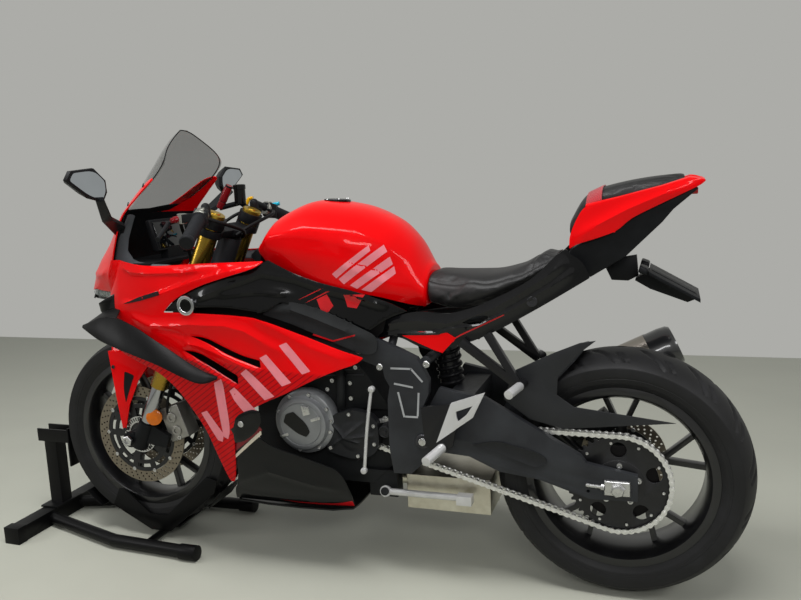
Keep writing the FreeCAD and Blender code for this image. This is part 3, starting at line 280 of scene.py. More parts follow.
def moulded_tyre(node, body, centre_x, centre_z, radius, half, shoulder, bead_half, grooves, lean):
    """The tyre turned from its profile, with the grooves pressed into the crown."""
    rings, profile = 528, tyre_profile(radius, half, shoulder, bead_half)
    verts, faces, n = [], [], len(profile)
    for i in range(rings):
        a = 2 * math.pi * i / rings
        for y, r in profile:
            cut = 0.0
            reach = abs(y) / half
            if 0.10 < reach < 0.86 and r > radius - 60:
                turn_share = (a / (2 * math.pi) * grooves + 0.5 * (y > 0)) % 1.0
                long_line = 0.20 + 0.62 * (reach - 0.10) ** 1.15 * lean
                short_line = 0.72 + 0.45 * (reach - 0.45) * lean
                width = 0.0042 * grooves * (1 - 0.5 * reach)
                near = min(abs(turn_share - long_line % 1.0),
                           abs(turn_share - short_line % 1.0) if 0.42 < reach < 0.8 else 1.0)
                cut = min(4.6, 14.0 * max(0.0, 1 - (near / width / 1.25) ** 2))
            verts.append(place(centre_x + (r - cut) * math.cos(a), y, centre_z + (r - cut) * math.sin(a)))
    for i in range(rings):
        for k in range(n - 1):
            a, b = i * n + k, ((i + 1) % rings) * n + k
            faces.append((a, a + 1, b + 1, b))
    inner = len(verts)
    for i in range(rings):
        a = 2 * math.pi * i / rings
        for y, r in ((bead_half - 6, 219), (half - 9, 248), (0, radius - 14), (9 - half, 248),
                (6 - bead_half, 219)):
            verts.append(place(centre_x + r * math.cos(a), y, centre_z + r * math.sin(a)))
    for i in range(rings):
        j = (i + 1) % rings
        for k in range(4):
            faces.append((inner + i * 5 + k, inner + i * 5 + k + 1, inner + j * 5 + k + 1,
                inner + j * 5 + k))
        faces.append((i * n + n - 1, j * n + n - 1, inner + j * 5, inner + i * 5))
        faces.append((i * n, j * n, inner + j * 5 + 4, inner + i * 5 + 4))
    tyre = finished(node + "_moulded", verts, faces, tyre_rubber, body, 40)
    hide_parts(node)
    return tyre


moulded_tyre("rear_tyre", "rear_wheel", 0, REAR_Z, radius=315, half=90, shoulder=62, bead_half=71,
             grooves=17, lean=1.15)
moulded_tyre("front_tyre", "front_wheel", FRONT_X, FRONT_Z, radius=300, half=60, shoulder=46, bead_half=46,
             grooves=19, lean=-1.1)

# ---- Cast rims ----
# Five forked spokes, cast in one with the barrel and powder coated satin black.

rim_coat = plain("rim_coat", colour(20, 20, 22), 0.32, 0.2, 18, 0.06, 600, Metallic=0.2, Coat_Weight=0.35,
                 Coat_Roughness=0.25)
for node in ("rear_rim", "front_rim"):
    rounded(node, rim_coat, 0.0022, 30)

# ---- Bolts, and everything else that is set out in rows ----
# Each kind is one small head, turned or forged, repeated at its places by one tree.


def turned_head(radius, height, socket, sides=16):
    """A round bolt head about +Z with a hexagon socket, as points and faces in metres."""
    rings = [(radius, 0.0, sides), (radius, height * 0.7, sides), (radius * 0.86, height, sides),
             (socket, height, sides), (socket * 0.9, height * 0.35, sides)]
    verts, faces = [], []
    for r, z, n in rings:
        for k in range(n):
            a = 2 * math.pi * k / n
            verts.append((r * math.cos(a) / 1000, r * math.sin(a) / 1000, z / 1000))
    for level in range(len(rings) - 1):
        for k in range(sides):
            m = (k + 1) % sides
            faces.append((level * sides + k, level * sides + m, (level + 1) * sides + m,
                          (level + 1) * sides + k))
    faces.append(tuple(range((len(rings) - 1) * sides, len(rings) * sides)))
    faces.append(tuple(reversed(range(sides))))
    return verts, faces


def repeat_tree(name, pattern, finish):
    """Points carrying a 'facing' and an 'across' direction get a copy of the pattern each."""
    tree = bpy.data.node_groups.new(name, "GeometryNodeTree")
    tree.interface.new_socket("Geometry", in_out="INPUT", socket_type="NodeSocketGeometry")
    size = tree.interface.new_socket("Size", in_out="INPUT", socket_type="NodeSocketFloat")
    tree.interface.new_socket("Geometry", in_out="OUTPUT", socket_type="NodeSocketGeometry")
    ends = [tree.nodes.new("NodeGroupInput"), tree.nodes.new("NodeGroupOutput")]
    source = tree.nodes.new("GeometryNodeObjectInfo")
    source.inputs["Object"].default_value = pattern
    facing, sideways = (tree.nodes.new("GeometryNodeInputNamedAttribute") for _ in range(2))
    for part, word in ((facing, "facing"), (sideways, "across")):
        part.data_type = "FLOAT_VECTOR"
        part.inputs["Name"].default_value = word
    first = tree.nodes.new("FunctionNodeAlignRotationToVector")
    first.axis = "Z"
    second = tree.nodes.new("FunctionNodeAlignRotationToVector")
    second.axis, second.pivot_axis = "X", "Z"
    copies = tree.nodes.new("GeometryNodeInstanceOnPoints")
    real = tree.nodes.new("GeometryNodeRealizeInstances")
    coat = tree.nodes.new("GeometryNodeSetMaterial")
    coat.inputs["Material"].default_value = finish.material
    join = tree.links.new
    join(facing.outputs["Attribute"], first.inputs["Vector"])
    join(first.outputs["Rotation"], second.inputs["Rotation"])
    join(sideways.outputs["Attribute"], second.inputs["Vector"])
    join(ends[0].outputs["Geometry"], copies.inputs["Points"])
    join(source.outputs["Geometry"], copies.inputs["Instance"])
    join(second.outputs["Rotation"], copies.inputs["Rotation"])
    join(ends[0].outputs["Size"], copies.inputs["Scale"])
    join(copies.outputs["Instances"], real.inputs["Geometry"])
    join(real.outputs["Geometry"], coat.inputs["Geometry"])
    join(coat.outputs["Geometry"], ends[1].inputs["Geometry"])
    return tree, size.identifier


def repeated(name, pattern, spots, finish, body, soften=35.0, size=1.0):
    """One mesh of copies of a pattern (points, faces); a spot is (place, facing, across)."""
    shape = bpy.data.meshes.new(name + "_pattern")
    shape.from_pydata(pattern[0], [], pattern[1])
    model = bpy.data.objects.new(name + "_pattern", shape)
    bpy.context.scene.collection.objects.link(model)
    points = bpy.data.meshes.new(name)
    points.from_pydata([tuple(p) for p, _, _ in spots], [], [])
    for word, index in (("facing", 1), ("across", 2)):
        layer = points.attributes.new(word, "FLOAT_VECTOR", "POINT")
        layer.data.foreach_set("vector", [c for spot in spots for c in Vector(spot[index]).normalized()])
    piece = bpy.data.objects.new(name, points)
    bpy.context.scene.collection.objects.link(piece)
    tree, size_input = repeat_tree(name, model, finish)
    copies = piece.modifiers.new("copies", "NODES")
    copies.node_group = tree
    copies[size_input] = size
    settle(piece, finish, body, soften)
    bpy.data.objects.remove(model)
    bpy.data.node_groups.remove(tree)
    return piece


def polar(cx, cz, r, deg, y):
    a = math.radians(deg)
    return place(cx + r * math.cos(a), y, cz + r * math.sin(a))


LEFT, RIGHT, UP = Vector((0, 1, 0)), Vector((0, -1, 0)), Vector((0, 0, 1))
bright_steel = plain("bright_steel", colour(196, 196, 196), 0.28, 0.08, 60, Metallic=1.0)
dark_steel = plain("dark_steel", colour(62, 62, 65), 0.4, 0.15, 60, Metallic=0.8)

# ---- Brake discs ----
# Ground steel friction rings, drilled through, that float on a black carrier by
# bright bobbins; ground in circles and browned by heat.

disc_steel = Finish("disc_steel", Metallic=0.9)


def ring_shade(finish, cx, cz, scale):
    """Circular grinding marks about an axle."""
    centre = place(cx, 0, cz)
    dx = finish.axis("X") - centre.x
    dz = finish.axis("Z") - centre.z
    away = (dx * dx + dz * dz).math("SQRT")
    return away.node("ShaderNodeTexNoise", {"noise_dimensions": "1D"}, W=away * scale, Scale=1.0,
        Detail=3.0)


carrier_coat = plain("carrier_coat", colour(30, 30, 32), 0.38, 0.15, 40, 0.05, 700, Metallic=0.3)


def flat_plate(outline, holes, y0, y1):
    """An (x, z) outline with holes, as a closed plate from y0 to y1: points and faces."""
    loops = [outline] + holes
    flat, rings = [], []
    for loop in loops:
        rings.append(list(range(len(flat), len(flat) + len(loop))))
        flat += [Vector(p) for p in loop]
    edges = [(r[k], r[(k + 1) % len(r)]) for r in rings for k in range(len(r))]
    points, _, cells, _, _, _ = delaunay_2d_cdt(flat, edges, rings, 5 if holes else 1, 1e-4)
    verts = [place(p.x, y0, p.y) for p in points] + [place(p.x, y1, p.y) for p in points]
    n, faces, count = len(points), [], {}
    for cell in cells:
        for k in range(len(cell)):
            key = (cell[k], cell[(k + 1) % len(cell)])
            count[key] = cell
    for cell in cells:
        faces += [tuple(cell), tuple(v + n for v in reversed(cell))]
    for a, b in count:
        if (b, a) not in count:
            faces.append((a, b, b + n, a + n))
    return verts, faces


def circle(cx, cz, r, sides=12, start=0.0):
    return [(cx + r * math.cos(start + 2 * math.pi * k / sides),
        cz + r * math.sin(start + 2 * math.pi * k / sides)) for k in range(sides)]


def disc_set(node, body, cx, cz, middles, outer, inner, rows, boss):
    """Ring, carrier and bobbins of each disc in the node, as one piece per metal."""
    ring_parts, carrier_parts, bobbins = [], [], []
    for middle in middles:
        holes = [circle(cx, cz, inner, 72)]
        for row, count, shift in rows:
            holes += [circle(cx + row * math.cos(a), cz + row * math.sin(a), 3.0, 7)
                      for a in (2 * math.pi * (k + shift) / count for k in range(count))]
        ring_parts.append(flat_plate(circle(cx, cz, outer, 96), holes, middle - 2.5, middle + 2.5))
        slots = []
        for k in range(10):
            a0 = 2 * math.pi * (k + 0.14) / 10
            a1 = 2 * math.pi * (k + 0.86) / 10
            run = [a0 + (a1 - a0) * t / 5 for t in range(6)]
            slots.append([(cx + (inner - 12) * math.cos(a), cz + (inner - 12) * math.sin(a))
                for a in run] + [(cx + (inner - 24) * math.cos(a), cz + (inner - 24) * math.sin(a))
                for a in reversed(run)])
        for k in range(5):
            a0 = 2 * math.pi * (k + 0.12) / 5
            a1 = 2 * math.pi * (k + 0.88) / 5
            run = [a0 + (a1 - a0) * t / 6 for t in range(7)]
            slots.append([(cx + (inner - 36) * math.cos(a), cz + (inner - 36) * math.sin(a))
                for a in run] + [(cx + (boss + 12) * math.cos(a), cz + (boss + 12) * math.sin(a))
                for a in reversed(run)])
        carrier_parts.append(flat_plate(circle(cx, cz, inner - 1.0, 72),
                                        [circle(cx, cz, boss, 36)] + slots, middle - 2.2, middle + 2.2))
        for k in range(10):
            for facing, face in ((LEFT, middle + 2.5), (RIGHT, middle - 2.5)):
                bobbins.append((polar(cx, cz, inner, 36 * k, face - 0.2 * facing.y), facing, UP))
    for word, parts, finish in (("ring", ring_parts, disc_steel), ("carrier", carrier_parts, carrier_coat)):
        verts, faces = [], []
        for part_verts, part_faces in parts:
            faces += [tuple(v + len(verts) for v in face) for face in part_faces]
            verts += part_verts
        piece = finished(node + "_" + word, verts, faces, finish, body, 40)
        if word == "ring":
            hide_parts(node)
    repeated(node + "_bobbins", turned_head(6.0, 1.6, 2.6, 12), bobbins, bright_steel, body)


grinding = ring_shade(disc_steel, FRONT_X, FRONT_Z, 900)
disc_steel.link(Base_Color=(grinding * 0.8 + disc_steel.noise(9, 2.0) * 0.3).blend(colour(96, 88, 76),
    colour(150, 141, 126)), Roughness=grinding * 0.2 + 0.28)
disc_set("front_discs", "front_wheel", FRONT_X, FRONT_Z, (67, -67), 153, 120,
         ((146, 40, 0.0), (136.5, 40, 0.33), (127.5, 40, 0.66)), 37)
disc_set("rear_disc", "rear_wheel", 0, REAR_Z, (-83,), 110, 80,
    ((104, 30, 0.0), (95, 30, 0.33), (87, 30, 0.66)), 37)

# the speed sensor's slotted ring on the front hub
windows = []
for k in range(36):
    a0, a1 = math.radians(10 * k + 2.6), math.radians(10 * k + 7.4)
    windows.append([(FRONT_X + r * math.cos(a), FRONT_Z + r * math.sin(a))
                    for r, a in ((43, a0), (54, a0), (54, a1), (43, a1))])
verts, faces = flat_plate(circle(FRONT_X, FRONT_Z, 57, 72), [circle(FRONT_X, FRONT_Z, 38, 48)] + windows,
    70.2, 71.6)
finished("speed_ring", verts, faces, bright_steel, "front_wheel", 40)
for node, body, cx, cz, y, r in (("front_rim", "front_wheel", FRONT_X, FRONT_Z, 69.5, 28.5),
                                 ("rear_rim", "rear_wheel", 0, REAR_Z, -85.5, 28.5)):
    repeated(node + "_disc_bolts", turned_head(5.0, 3.5, 2.6, 14),
        [(polar(cx, cz, 50 if cx else 49, 72 * k + 18, 69.5 if cx else -85.4), LEFT if cx else RIGHT, UP)
        for k in range(5)], dark_steel, body)

# ---- Side fairings ----
# Moulded plastic skins under red paint and clear lacquer, each a single panel from the
# lamps to the engine, with pressed creases and two slanted air vents with raised lips.


def eased(knots, values, at):
    """A smooth curve through a table's values that never swings past them."""
    at = np.atleast_1d(np.asarray(at, float))
    knots, values = np.asarray(knots, float), np.asarray(values, float)
    knots = knots[:, None] + 0 * at if knots.ndim == 1 else knots
    values = values[:, None] + 0 * at if values.ndim == 1 else values
    gap = np.diff(knots, axis=0)
    rise = np.diff(values, axis=0) / gap
    slope = np.zeros_like(values)
    slope[0], slope[-1] = rise[0], rise[-1]
    same_way = rise[1:] * rise[:-1] > 0
    total = np.where(same_way, rise[1:] + rise[:-1], 1.0)
    slope[1:-1] = np.where(same_way, 2 * rise[1:] * rise[:-1] / total, 0.0)
    cell = np.clip((at >= knots).sum(axis=0) - 1, 0, len(knots) - 2)[None, :]
    k0, h, v0, v1, s0, s1 = (np.take_along_axis(a, cell, axis=0)[0] for a in
                             (knots[:-1], gap, values[:-1], values[1:], slope[:-1], slope[1:]))
    t = (at - k0) / h
    u = np.clip(t, 0, 1)
    curve = (v0 * (1 + 2 * u) * (1 - u) ** 2 + v1 * u * u * (3 - 2 * u)
             + h * (s0 * u * (1 - u) ** 2 - s1 * u * u * (1 - u)))
    return curve + np.minimum(t, 0) * h * s0 + np.maximum(t - 1, 0) * h * s1


def soft_loop(loop, corner=5.0):
    """A closed outline whose shallow bends are smooth and whose corners are rounded."""
    out = []
    for k, point in enumerate(loop):
        p, a, b = Vector(point), Vector(loop[k - 1]), Vector(loop[(k + 1) % len(loop)])
        back, on = a - p, b - p
        bend = math.pi - back.angle(on)
        reach = 0.42 if bend < 0.75 else 0.0
        cut_a = max(reach * back.length, min(corner, 0.4 * back.length))
        cut_b = max(reach * on.length, min(corner, 0.4 * on.length))
        first, last = p + back.normalized() * cut_a, p + on.normalized() * cut_b
        for t in (0.0, 0.25, 0.5, 0.75, 1.0):
            out.append(tuple((1 - t) ** 2 * first + 2 * t * (1 - t) * p + t * t * last))
    return out


def even_points(line, step, closed=True):
    """The line with no stretch longer than the step."""
    out, ends = [], list(line) + ([line[0]] if closed else [])
    for a, b in zip(ends[:-1], ends[1:]):
        n = max(1, math.ceil(math.dist(a, b) / step))
        out += [(a[0] + (b[0] - a[0]) * k / n, a[1] + (b[1] - a[1]) * k / n) for k in range(n)]
    return out if closed else out + [ends[-1]]


def within(points, loop):
    """Which of the points lie inside a closed line."""
    a = np.asarray(loop, float)
    b = np.roll(a, -1, axis=0)
    px, py = points[:, 0][:, None], points[:, 1][:, None]
    with np.errstate(divide="ignore", invalid="ignore"):
        cross = (a[:, 1] > py) != (b[:, 1] > py)
        hit = px < (b[:, 0] - a[:, 0]) * (py - a[:, 1]) / (b[:, 1] - a[:, 1]) + a[:, 0]
    return (cross & hit).sum(axis=1) % 2 == 1


def blank(outline, holes=(), lines=(), step=8.0):
    """Triangles that fill an outline round its holes, with edges along the pressed lines."""
    loops = [even_points(loop, step) for loop in (outline, *holes)]
    marks = [even_points(line, step, False) for line in lines]
    fixed = [Vector(p) for run in loops + marks for p in run]
    edges, start = [], 0
    for run, closed in [(r, True) for r in loops] + [(r, False) for r in marks]:
        n = len(run)
        edges += [(start + k, start + (k + 1) % n) for k in range(n if closed else n - 1)]
        start += n
    low, high = np.min(loops[0], axis=0), np.max(loops[0], axis=0)
    grid = np.array([(x + (row % 2) * step / 2, z)
                     for row, z in enumerate(np.arange(low[1], high[1], step * 0.87))
                     for x in np.arange(low[0], high[0], step)]).reshape(-1, 2)
    keep = within(grid, loops[0])
    for hole in loops[1:]:
        keep &= ~within(grid, hole)
    grid = grid[keep]
    rim = np.array([tuple(p) for p in fixed])
    gap = np.array([np.min((rim[:, 0] - x) ** 2 + (rim[:, 1] - z) ** 2) for x, z in grid])
    grid = grid[gap > (0.55 * step) ** 2] if len(grid) else grid
    points, _, cells, *_ = delaunay_2d_cdt(fixed + [Vector(p) for p in grid], edges, [], 0, 1e-3)
    points = np.array([tuple(p) for p in points])
    middles = np.array([points[list(c)].mean(axis=0) for c in cells])
    keep = within(middles, loops[0])
    for hole in loops[1:]:
        keep &= ~within(middles, hole)
    return points, [c for c, k in zip(cells, keep) if k]


def pressed(x, z, line, height, width, low_width=None, fade=40.0):
    """How far a pressed line lifts a panel: a crease on the line that dies away beside it."""
    near = np.full(x.shape, 1e9)
    side, along, total = np.ones(x.shape), np.zeros(x.shape), 0.0
    for (ax, az), (bx, bz) in zip(line[:-1], line[1:]):
        length = math.dist((ax, az), (bx, bz))
        ux, uz = (bx - ax) / length, (bz - az) / length
        run = np.clip((x - ax) * ux + (z - az) * uz, 0, length)
        away = np.hypot(x - ax - run * ux, z - az - run * uz)
        closer = away < near
        near = np.where(closer, away, near)
        side = np.where(closer, np.sign(ux * (z - az) - uz * (x - ax)), side)
        along = np.where(closer, total + run, along)
        total += length
    reach = np.where(side > 0, low_width or width, width)
    ends = np.clip(np.minimum(along, total - along) / fade, 0, 1) if fade else 1.0
    return height * np.clip(1 - near / reach, 0, 1) ** 2 * ends


def skin(name, outline, form, finish, body, side=1, holes=(), lines=(), step=8.0, thick=3.0,
         edge=1.0, facing=None, soften=35.0):
    """A moulded panel over a form: a function from outline places to points in millimetres."""
    points, cells = blank(outline, holes, lines, step)
    x, y, z = form(points[:, 0], points[:, 1])
    mesh = bpy.data.meshes.new(name)
    mesh.from_pydata([place(a, b * side, c) for a, b, c in zip(x, y, z)], [], [tuple(c) for c in cells])
    work = bmesh.new()
    work.from_mesh(mesh)
    out = Vector(facing or (0, 1, 0))
    out.y *= side
    total = Vector()
    for face in work.faces:
        total += face.normal * face.calc_area()
    if total.dot(out) < 0:
        bmesh.ops.reverse_faces(work, faces=work.faces)
    bmesh.ops.delete(work, geom=[v for v in work.verts if not v.link_faces], context="VERTS")
    work.to_mesh(mesh)
    work.free()
    piece = bpy.data.objects.new(name, mesh)
    bpy.context.scene.collection.objects.link(piece)
    if thick:
        wall = piece.modifiers.new("wall", "SOLIDIFY")
        wall.thickness, wall.offset = thick / 1000, -1.0
        if edge:
            rim = piece.modifiers.new("rim", "BEVEL")
            rim.width, rim.segments = edge / 1000, 2
            rim.limit_method, rim.angle_limit = "ANGLE", math.radians(55)
    return settle(piece, finish, body, soften)


FAIRING = np.array([
    # x, top z, then half widths at z 860, 740, 560, 400 and 260
    (600, 802, 172, 202, 218, 206, 182),
    (700, 862, 192, 222, 230, 212, 188),
    (860, 892, 222, 250, 250, 220, 194),
    (1000, 892, 236, 255, 246, 225, 194),
    (1200, 900, 236, 245, 232, 214, 188),
    (1330, 930, 205, 215, 205, 190, 160),
    (1420, 930, 135, 160, 150, 120, 90),
], float)


def fairing_width(x, z):
    """Half the width of the fairing at the given places along and above the bike."""
    top, w860, w740, w560, w400, w260 = (eased(FAIRING[:, 0], FAIRING[:, c], x) for c in range(1, 7))
    flat = np.zeros_like(top)
    knots = np.stack([flat + 186, flat + 260, flat + 400, flat + 560, flat + 740,
                      np.minimum(860, top - 5), top])
    widths = np.stack([w260 - 26, w260, w400, w560, w740, w860, w860 - 30])
    return eased(knots, widths, z)


top_fold = [(1330, 772), (1265, 776), (1206, 791), (1139, 811), (1054, 838), (966, 860), (880, 876)]
vent_fold = [(1300, 742), (1213, 713), (1150, 714), (1089, 720), (977, 718), (923, 706), (877, 681),
    (800, 640)]
shoulder = [(905, 744), (881, 735), (819, 704), (742, 662), (676, 636), (640, 626)]
throat = [(962, 556), (972, 514), (985, 450), (996, 392), (1014, 330)]
vent_high = [(1088, 687), (1041, 685), (993, 662), (934, 637), (886, 626), (885, 606), (929, 621),
    (982, 641), (1018, 660), (1050, 675)]
vent_low = [(1116, 646), (1070, 644), (1022, 619), (956, 582), (957, 559), (994, 580), (1036, 604),
    (1080, 628)]
lip_high = [(1110, 668), (1060, 662), (1018, 648), (975, 630), (925, 608), (880, 594)]
lip_low = [(1120, 628), (1078, 617), (1036, 592), (994, 568), (955, 545)]


lip_edge = [(1331, 873), (1277, 858), (1211, 855), (1116, 856), (1040, 862)]
scoop = [(1213, 702), (1146, 697), (1085, 682)]


def fairing_form(x, z):
    y = fairing_width(x, z)
    y = y + pressed(x, z, top_fold, 8.0, 9, 56) + pressed(x, z, lip_edge, 5.0, 22, 7)
    y = y - pressed(x, z, scoop, 5.0, 12, 12)
    y = y + pressed(x, z, vent_fold, 6.0, 26, 34)
    y = y + pressed(x, z, shoulder, 5.0, 30, 34)
    y = y + pressed(x, z, throat, 5.0, 36, 36)
    y = y + pressed(x, z, lip_high, 6.0, 14, 24, 20) + pressed(x, z, lip_low, 6.0, 14, 24, 20)
    for vent in (vent_high, vent_low):
        y = y - pressed(x, z, vent + vent[:1], 4.0, 9, 9, 0)
    return x, y, z


red_paint = Finish("red_paint", Coat_Weight=0.26, Coat_Roughness=0.03, Specular_IOR_Level=0.04)
red_paint.link(Base_Color=red_paint.noise(5, 3.0).step(0.3, 0.7).blend(colour(228, 1, 6),
    colour(238, 2, 9)), Roughness=red_paint.noise(30, 3.0) * 0.1 + 0.25)
red_paint.bump(red_paint.noise(420, 1.0), 0.02, 0.0004)

pin_red = Finish("pinstriped_red_paint", Coat_Weight=0.26, Coat_Roughness=0.03, Specular_IOR_Level=0.04)
slant = pin_red.axis("X") * 0.62 + pin_red.axis("Z") * 0.9
lines = (slant * 470.0).math("SINE").step(0.55, 0.95)
# the striped lacquer starts below a slanted line and is absent above it
below = (pin_red.axis("X") * 0.1 - pin_red.axis("Z") + 0.6).step(0.0, 0.012)
deep = pin_red.noise(5, 3.0).step(0.3, 0.7).blend(colour(228, 1, 6), colour(238, 2, 9))
pin_red.link(Base_Color=(lines * 0.5 * below + below * 0.32).blend(deep, colour(120, 2, 14)),
             Roughness=pin_red.noise(30, 3.0) * 0.1 + 0.25)
pin_red.bump(pin_red.noise(420, 1.0), 0.02, 0.0004)

side_outline = [
    (1398, 772), (1380, 800), (1352, 850), (1334, 888), (1268, 878), (1194, 873), (1050, 879), (876, 881),
    (899, 863), (976, 843), (1056, 820), (1131, 785), (1169, 750), (1113, 751), (973, 747), (875, 738),
    (778, 700), (675, 656), (609, 634), (628, 618), (679, 602), (739, 578), (811, 543), (880, 514),
    (952, 478), (976, 446), (988, 410), (1000, 348), (1014, 281), (1022, 264), (1032, 264), (1038, 275),
    (1056, 344), (1074, 409), (1095, 451), (1129, 502), (1159, 540), (1214, 581), (1290, 606), (1373, 633),
    (1392, 690)]
for side, hand in ((1, "left"), (-1, "right")):
    panel = skin("side_fairing_" + hand + "_skin", soft_loop(side_outline, 4), fairing_form, pin_red,
        "chassis", side, [soft_loop(vent_high, 3), soft_loop(vent_low, 3)],
        [top_fold[1:-1], vent_fold[1:-1], shoulder[1:-1], throat[1:-1], lip_high, lip_low, lip_edge,
        scoop], 7.0)
    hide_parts("side_fairing_" + hand)

# ---- Stripes on the fairing ----
# Printed film laid half a millimetre over the panel: pale pink slanted bars down the
# side, and dark red and cream bands along the belly. A black strip laid under the upper
# fold is painted shadow.

film_pink = plain("film_pink", colour(238, 136, 146), 0.3, 0.04, 30, Coat_Weight=0.4, Coat_Roughness=0.05)
film_cream = plain("film_cream", colour(214, 204, 186), 0.35, 0.04, 30, Coat_Weight=0.6)
# near-black used as painted shade: the shadow under the upper fold, and the dark sheets behind the inserts,
# the vents and the sprocket
film_shadow = plain("painted_shadow_black", colour(12, 10, 11), 0.5, 0.1, 30)
film_dark_red = plain("film_dark_red", colour(120, 10, 26), 0.35, 0.05, 30, Coat_Weight=0.6)


def film(name, outline, form, finish, body, side=1, lift=0.5, step=9.0, facing=None):
    """A thin piece laid over a panel's form: printed film, and dark film that is painted shadow."""
    def over(a, b):
        x, y, z = form(a, b)
        return x, y + lift, z
    piece = skin(name, outline, over, finish, body, side, step=step, thick=0.0, facing=facing)
    return piece


bars = [
    [(1086, 470), (1066, 478), (1024, 412), (1032, 388), (1046, 392)],
    [(1030, 560), (1002, 574), (998, 430), (1012, 398), (1026, 404)],
    [(984, 540), (966, 552), (908, 486), (930, 470), (952, 482)],
    [(944, 590), (924, 604), (850, 532), (880, 520)],
    [(884, 634), (864, 644), (800, 570), (826, 560)],
    [(826, 668), (806, 676), (748, 600), (770, 592)],
]
# a black strip just under the upper fold's edge: painted shadow
fold_shadow = [(1314, 768), (1240, 781), (1169, 799), (1181, 808), (1250, 790)]
for side, hand in ((1, "left"), (-1, "right")):
    film("fold_slot_" + hand, fold_shadow, fairing_form, film_shadow, "chassis", side, 2.0, 3.0)
    for k, bar in enumerate(bars):
        film("fairing_bar_%s_%d" % (hand, k + 1), soft_loop(bar, 1.5), fairing_form, film_pink, "chassis",
            side)

# ---- Black side inserts ----
# Gloss black panels between the fairing and the tank, with a rolled upper edge, a slot
# under the round cap at their front end, and a few red strokes.

INSERT = np.array([
    # x, then half widths at z 900, 740 and 640
    (490, 146, 154, 158), (640, 158, 166, 174), (780, 176, 200, 214), (880, 204, 232, 236),
    (1000, 230, 252, 250), (1200, 228, 244, 240)], float)
insert_roll = [(1069, 786), (978, 817), (879, 850), (797, 832), (728, 806), (646, 785), (560, 756)]
insert_slot = [(1080, 764), (980, 768), (892, 752), (890, 744), (980, 750), (1076, 752)]


def insert_form(x, z):
    widths = [eased(INSERT[:, 0], INSERT[:, c], x) for c in (3, 2, 1)]
    y = eased([640, 740, 900], np.stack(widths), z)
    y = y + pressed(x, z, insert_roll, 7, 26, 16) + pressed(x, z, [(1020, 798), (885, 804), (790, 790)],
        4, 16, 16)
    return x, y - 1.0, z


backing = [(1160, 700), (1160, 775), (1054, 806), (960, 828), (880, 838), (800, 820), (728, 790),
    (646, 770), (560, 742), (576, 690), (620, 650), (700, 660), (800, 690), (900, 700), (1000, 690)]
black_gloss = plain("black_gloss", colour(7, 7, 8), 0.2, 0.1, 8, 0.02, 500, Coat_Weight=0.34,
    Coat_Roughness=0.04)
insert_outline = [
    (1113, 753), (1166, 753), (1129, 786), (1054, 821), (975, 843), (900, 862), (866, 884), (801, 846),
    (728, 818), (646, 797), (555, 767), (508, 744), (561, 726), (612, 692), (729, 735), (831, 774),
    (878, 746), (973, 750)]
strokes = [[(790, 778), (784, 780), (722, 806), (730, 806)],
    [(770, 770), (762, 773), (706, 798), (716, 798)],
    [(742, 778), (716, 790), (700, 760), (718, 738), (730, 744)],
    [(672, 788), (616, 788), (640, 752), (664, 756)]]
film_red = plain("film_red", colour(196, 24, 30), 0.35, 0.05, 30, Coat_Weight=0.5)
chrome_ring = plain("chrome_ring", colour(205, 206, 210), 0.16, 0.05, 30, Metallic=1.0)
for side, hand in ((1, "left"), (-1, "right")):
    panel = skin("side_insert_" + hand, soft_loop(insert_outline, 4), insert_form, black_gloss, "chassis",
        side, [soft_loop(insert_slot, 2)], [insert_roll], 7.0)
    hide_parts("side_inserts")
    # dark sheets behind the insert and behind the vents: painted shade where the fairing's inside would
    # show through
    inner = skin("insert_backing_" + hand, backing, lambda x, z: (x,
        152 + 62 * np.clip((x - 600) / 340, 0, 1), z), film_shadow, "chassis", side, step=16, thick=2,
        edge=0)
    inner = skin("vent_backing_" + hand, [(1140, 560), (1140, 712), (870, 712), (870, 560)],
                 lambda x, z: (x, 0 * x + 206, z), film_shadow, "chassis", side, step=20, thick=2, edge=0)
    for k, stroke in enumerate(strokes):
        film("insert_stroke_%s_%d" % (hand, k + 1), stroke, insert_form, film_red, "chassis", side)
    # round cap with a bright ring
    y = float(fairing_width(np.array([1090.0]), np.array([771.0]))[0])
    verts, faces = [], []
    profile = [(0, 5.2), (17, 5.2), (18, 6.6), (22.5, 7.4), (26, 6.4), (27.4, 1.0), (27.4, -8.0)]
    for k in range(48):
        a = 2 * math.pi * k / 48
        for r, out in profile[1:]:
            verts.append(place(1090 + r * math.cos(a), side * (y + out), 771 + r * math.sin(a)))
    n = len(profile) - 1
    for k in range(48):
        m = (k + 1) % 48
        for j in range(n - 1):
            faces.append((k * n + j, k * n + j + 1, m * n + j + 1, m * n + j))
    faces.append(tuple(k * n for k in range(48)))
    ring = finished("cap_ring_" + hand, verts, [f for f in faces if len(f) == 4], chrome_ring, "chassis",
        30)
    face_verts = [place(1090 + 17.5 * math.cos(2 * math.pi * k / 48), side * (y + 5.6),
                        771 + 17.5 * math.sin(2 * math.pi * k / 48)) for k in range(48)]
    middle = len(face_verts)
    face_verts.append(place(1090, side * (y + 6.6), 771))
    finished("cap_face_" + hand, face_verts, [(k, (k + 1) % 48, middle) for k in range(48)],
                     black_gloss, "chassis", 60)

# ---- Belly pan ----
# Satin black plastic under the engine, moulded in one with a red lip at its lower edge
# and a raised pod behind the fairing's spike.

belly_crease = [(1045, 250), (911, 306), (782, 274), (700, 262)]
belly_low = [(1040, 222), (900, 214), (760, 212), (694, 216)]


def belly_form(x, z):
    y = fairing_width(x, z) - 2.0 - 0.0012 * np.clip(330 - z, 0, 200) ** 2
    y = y + pressed(x, z, belly_crease, 5, 30, 16) + pressed(x, z, belly_low, 5, 20, 18)
    return x, y, z


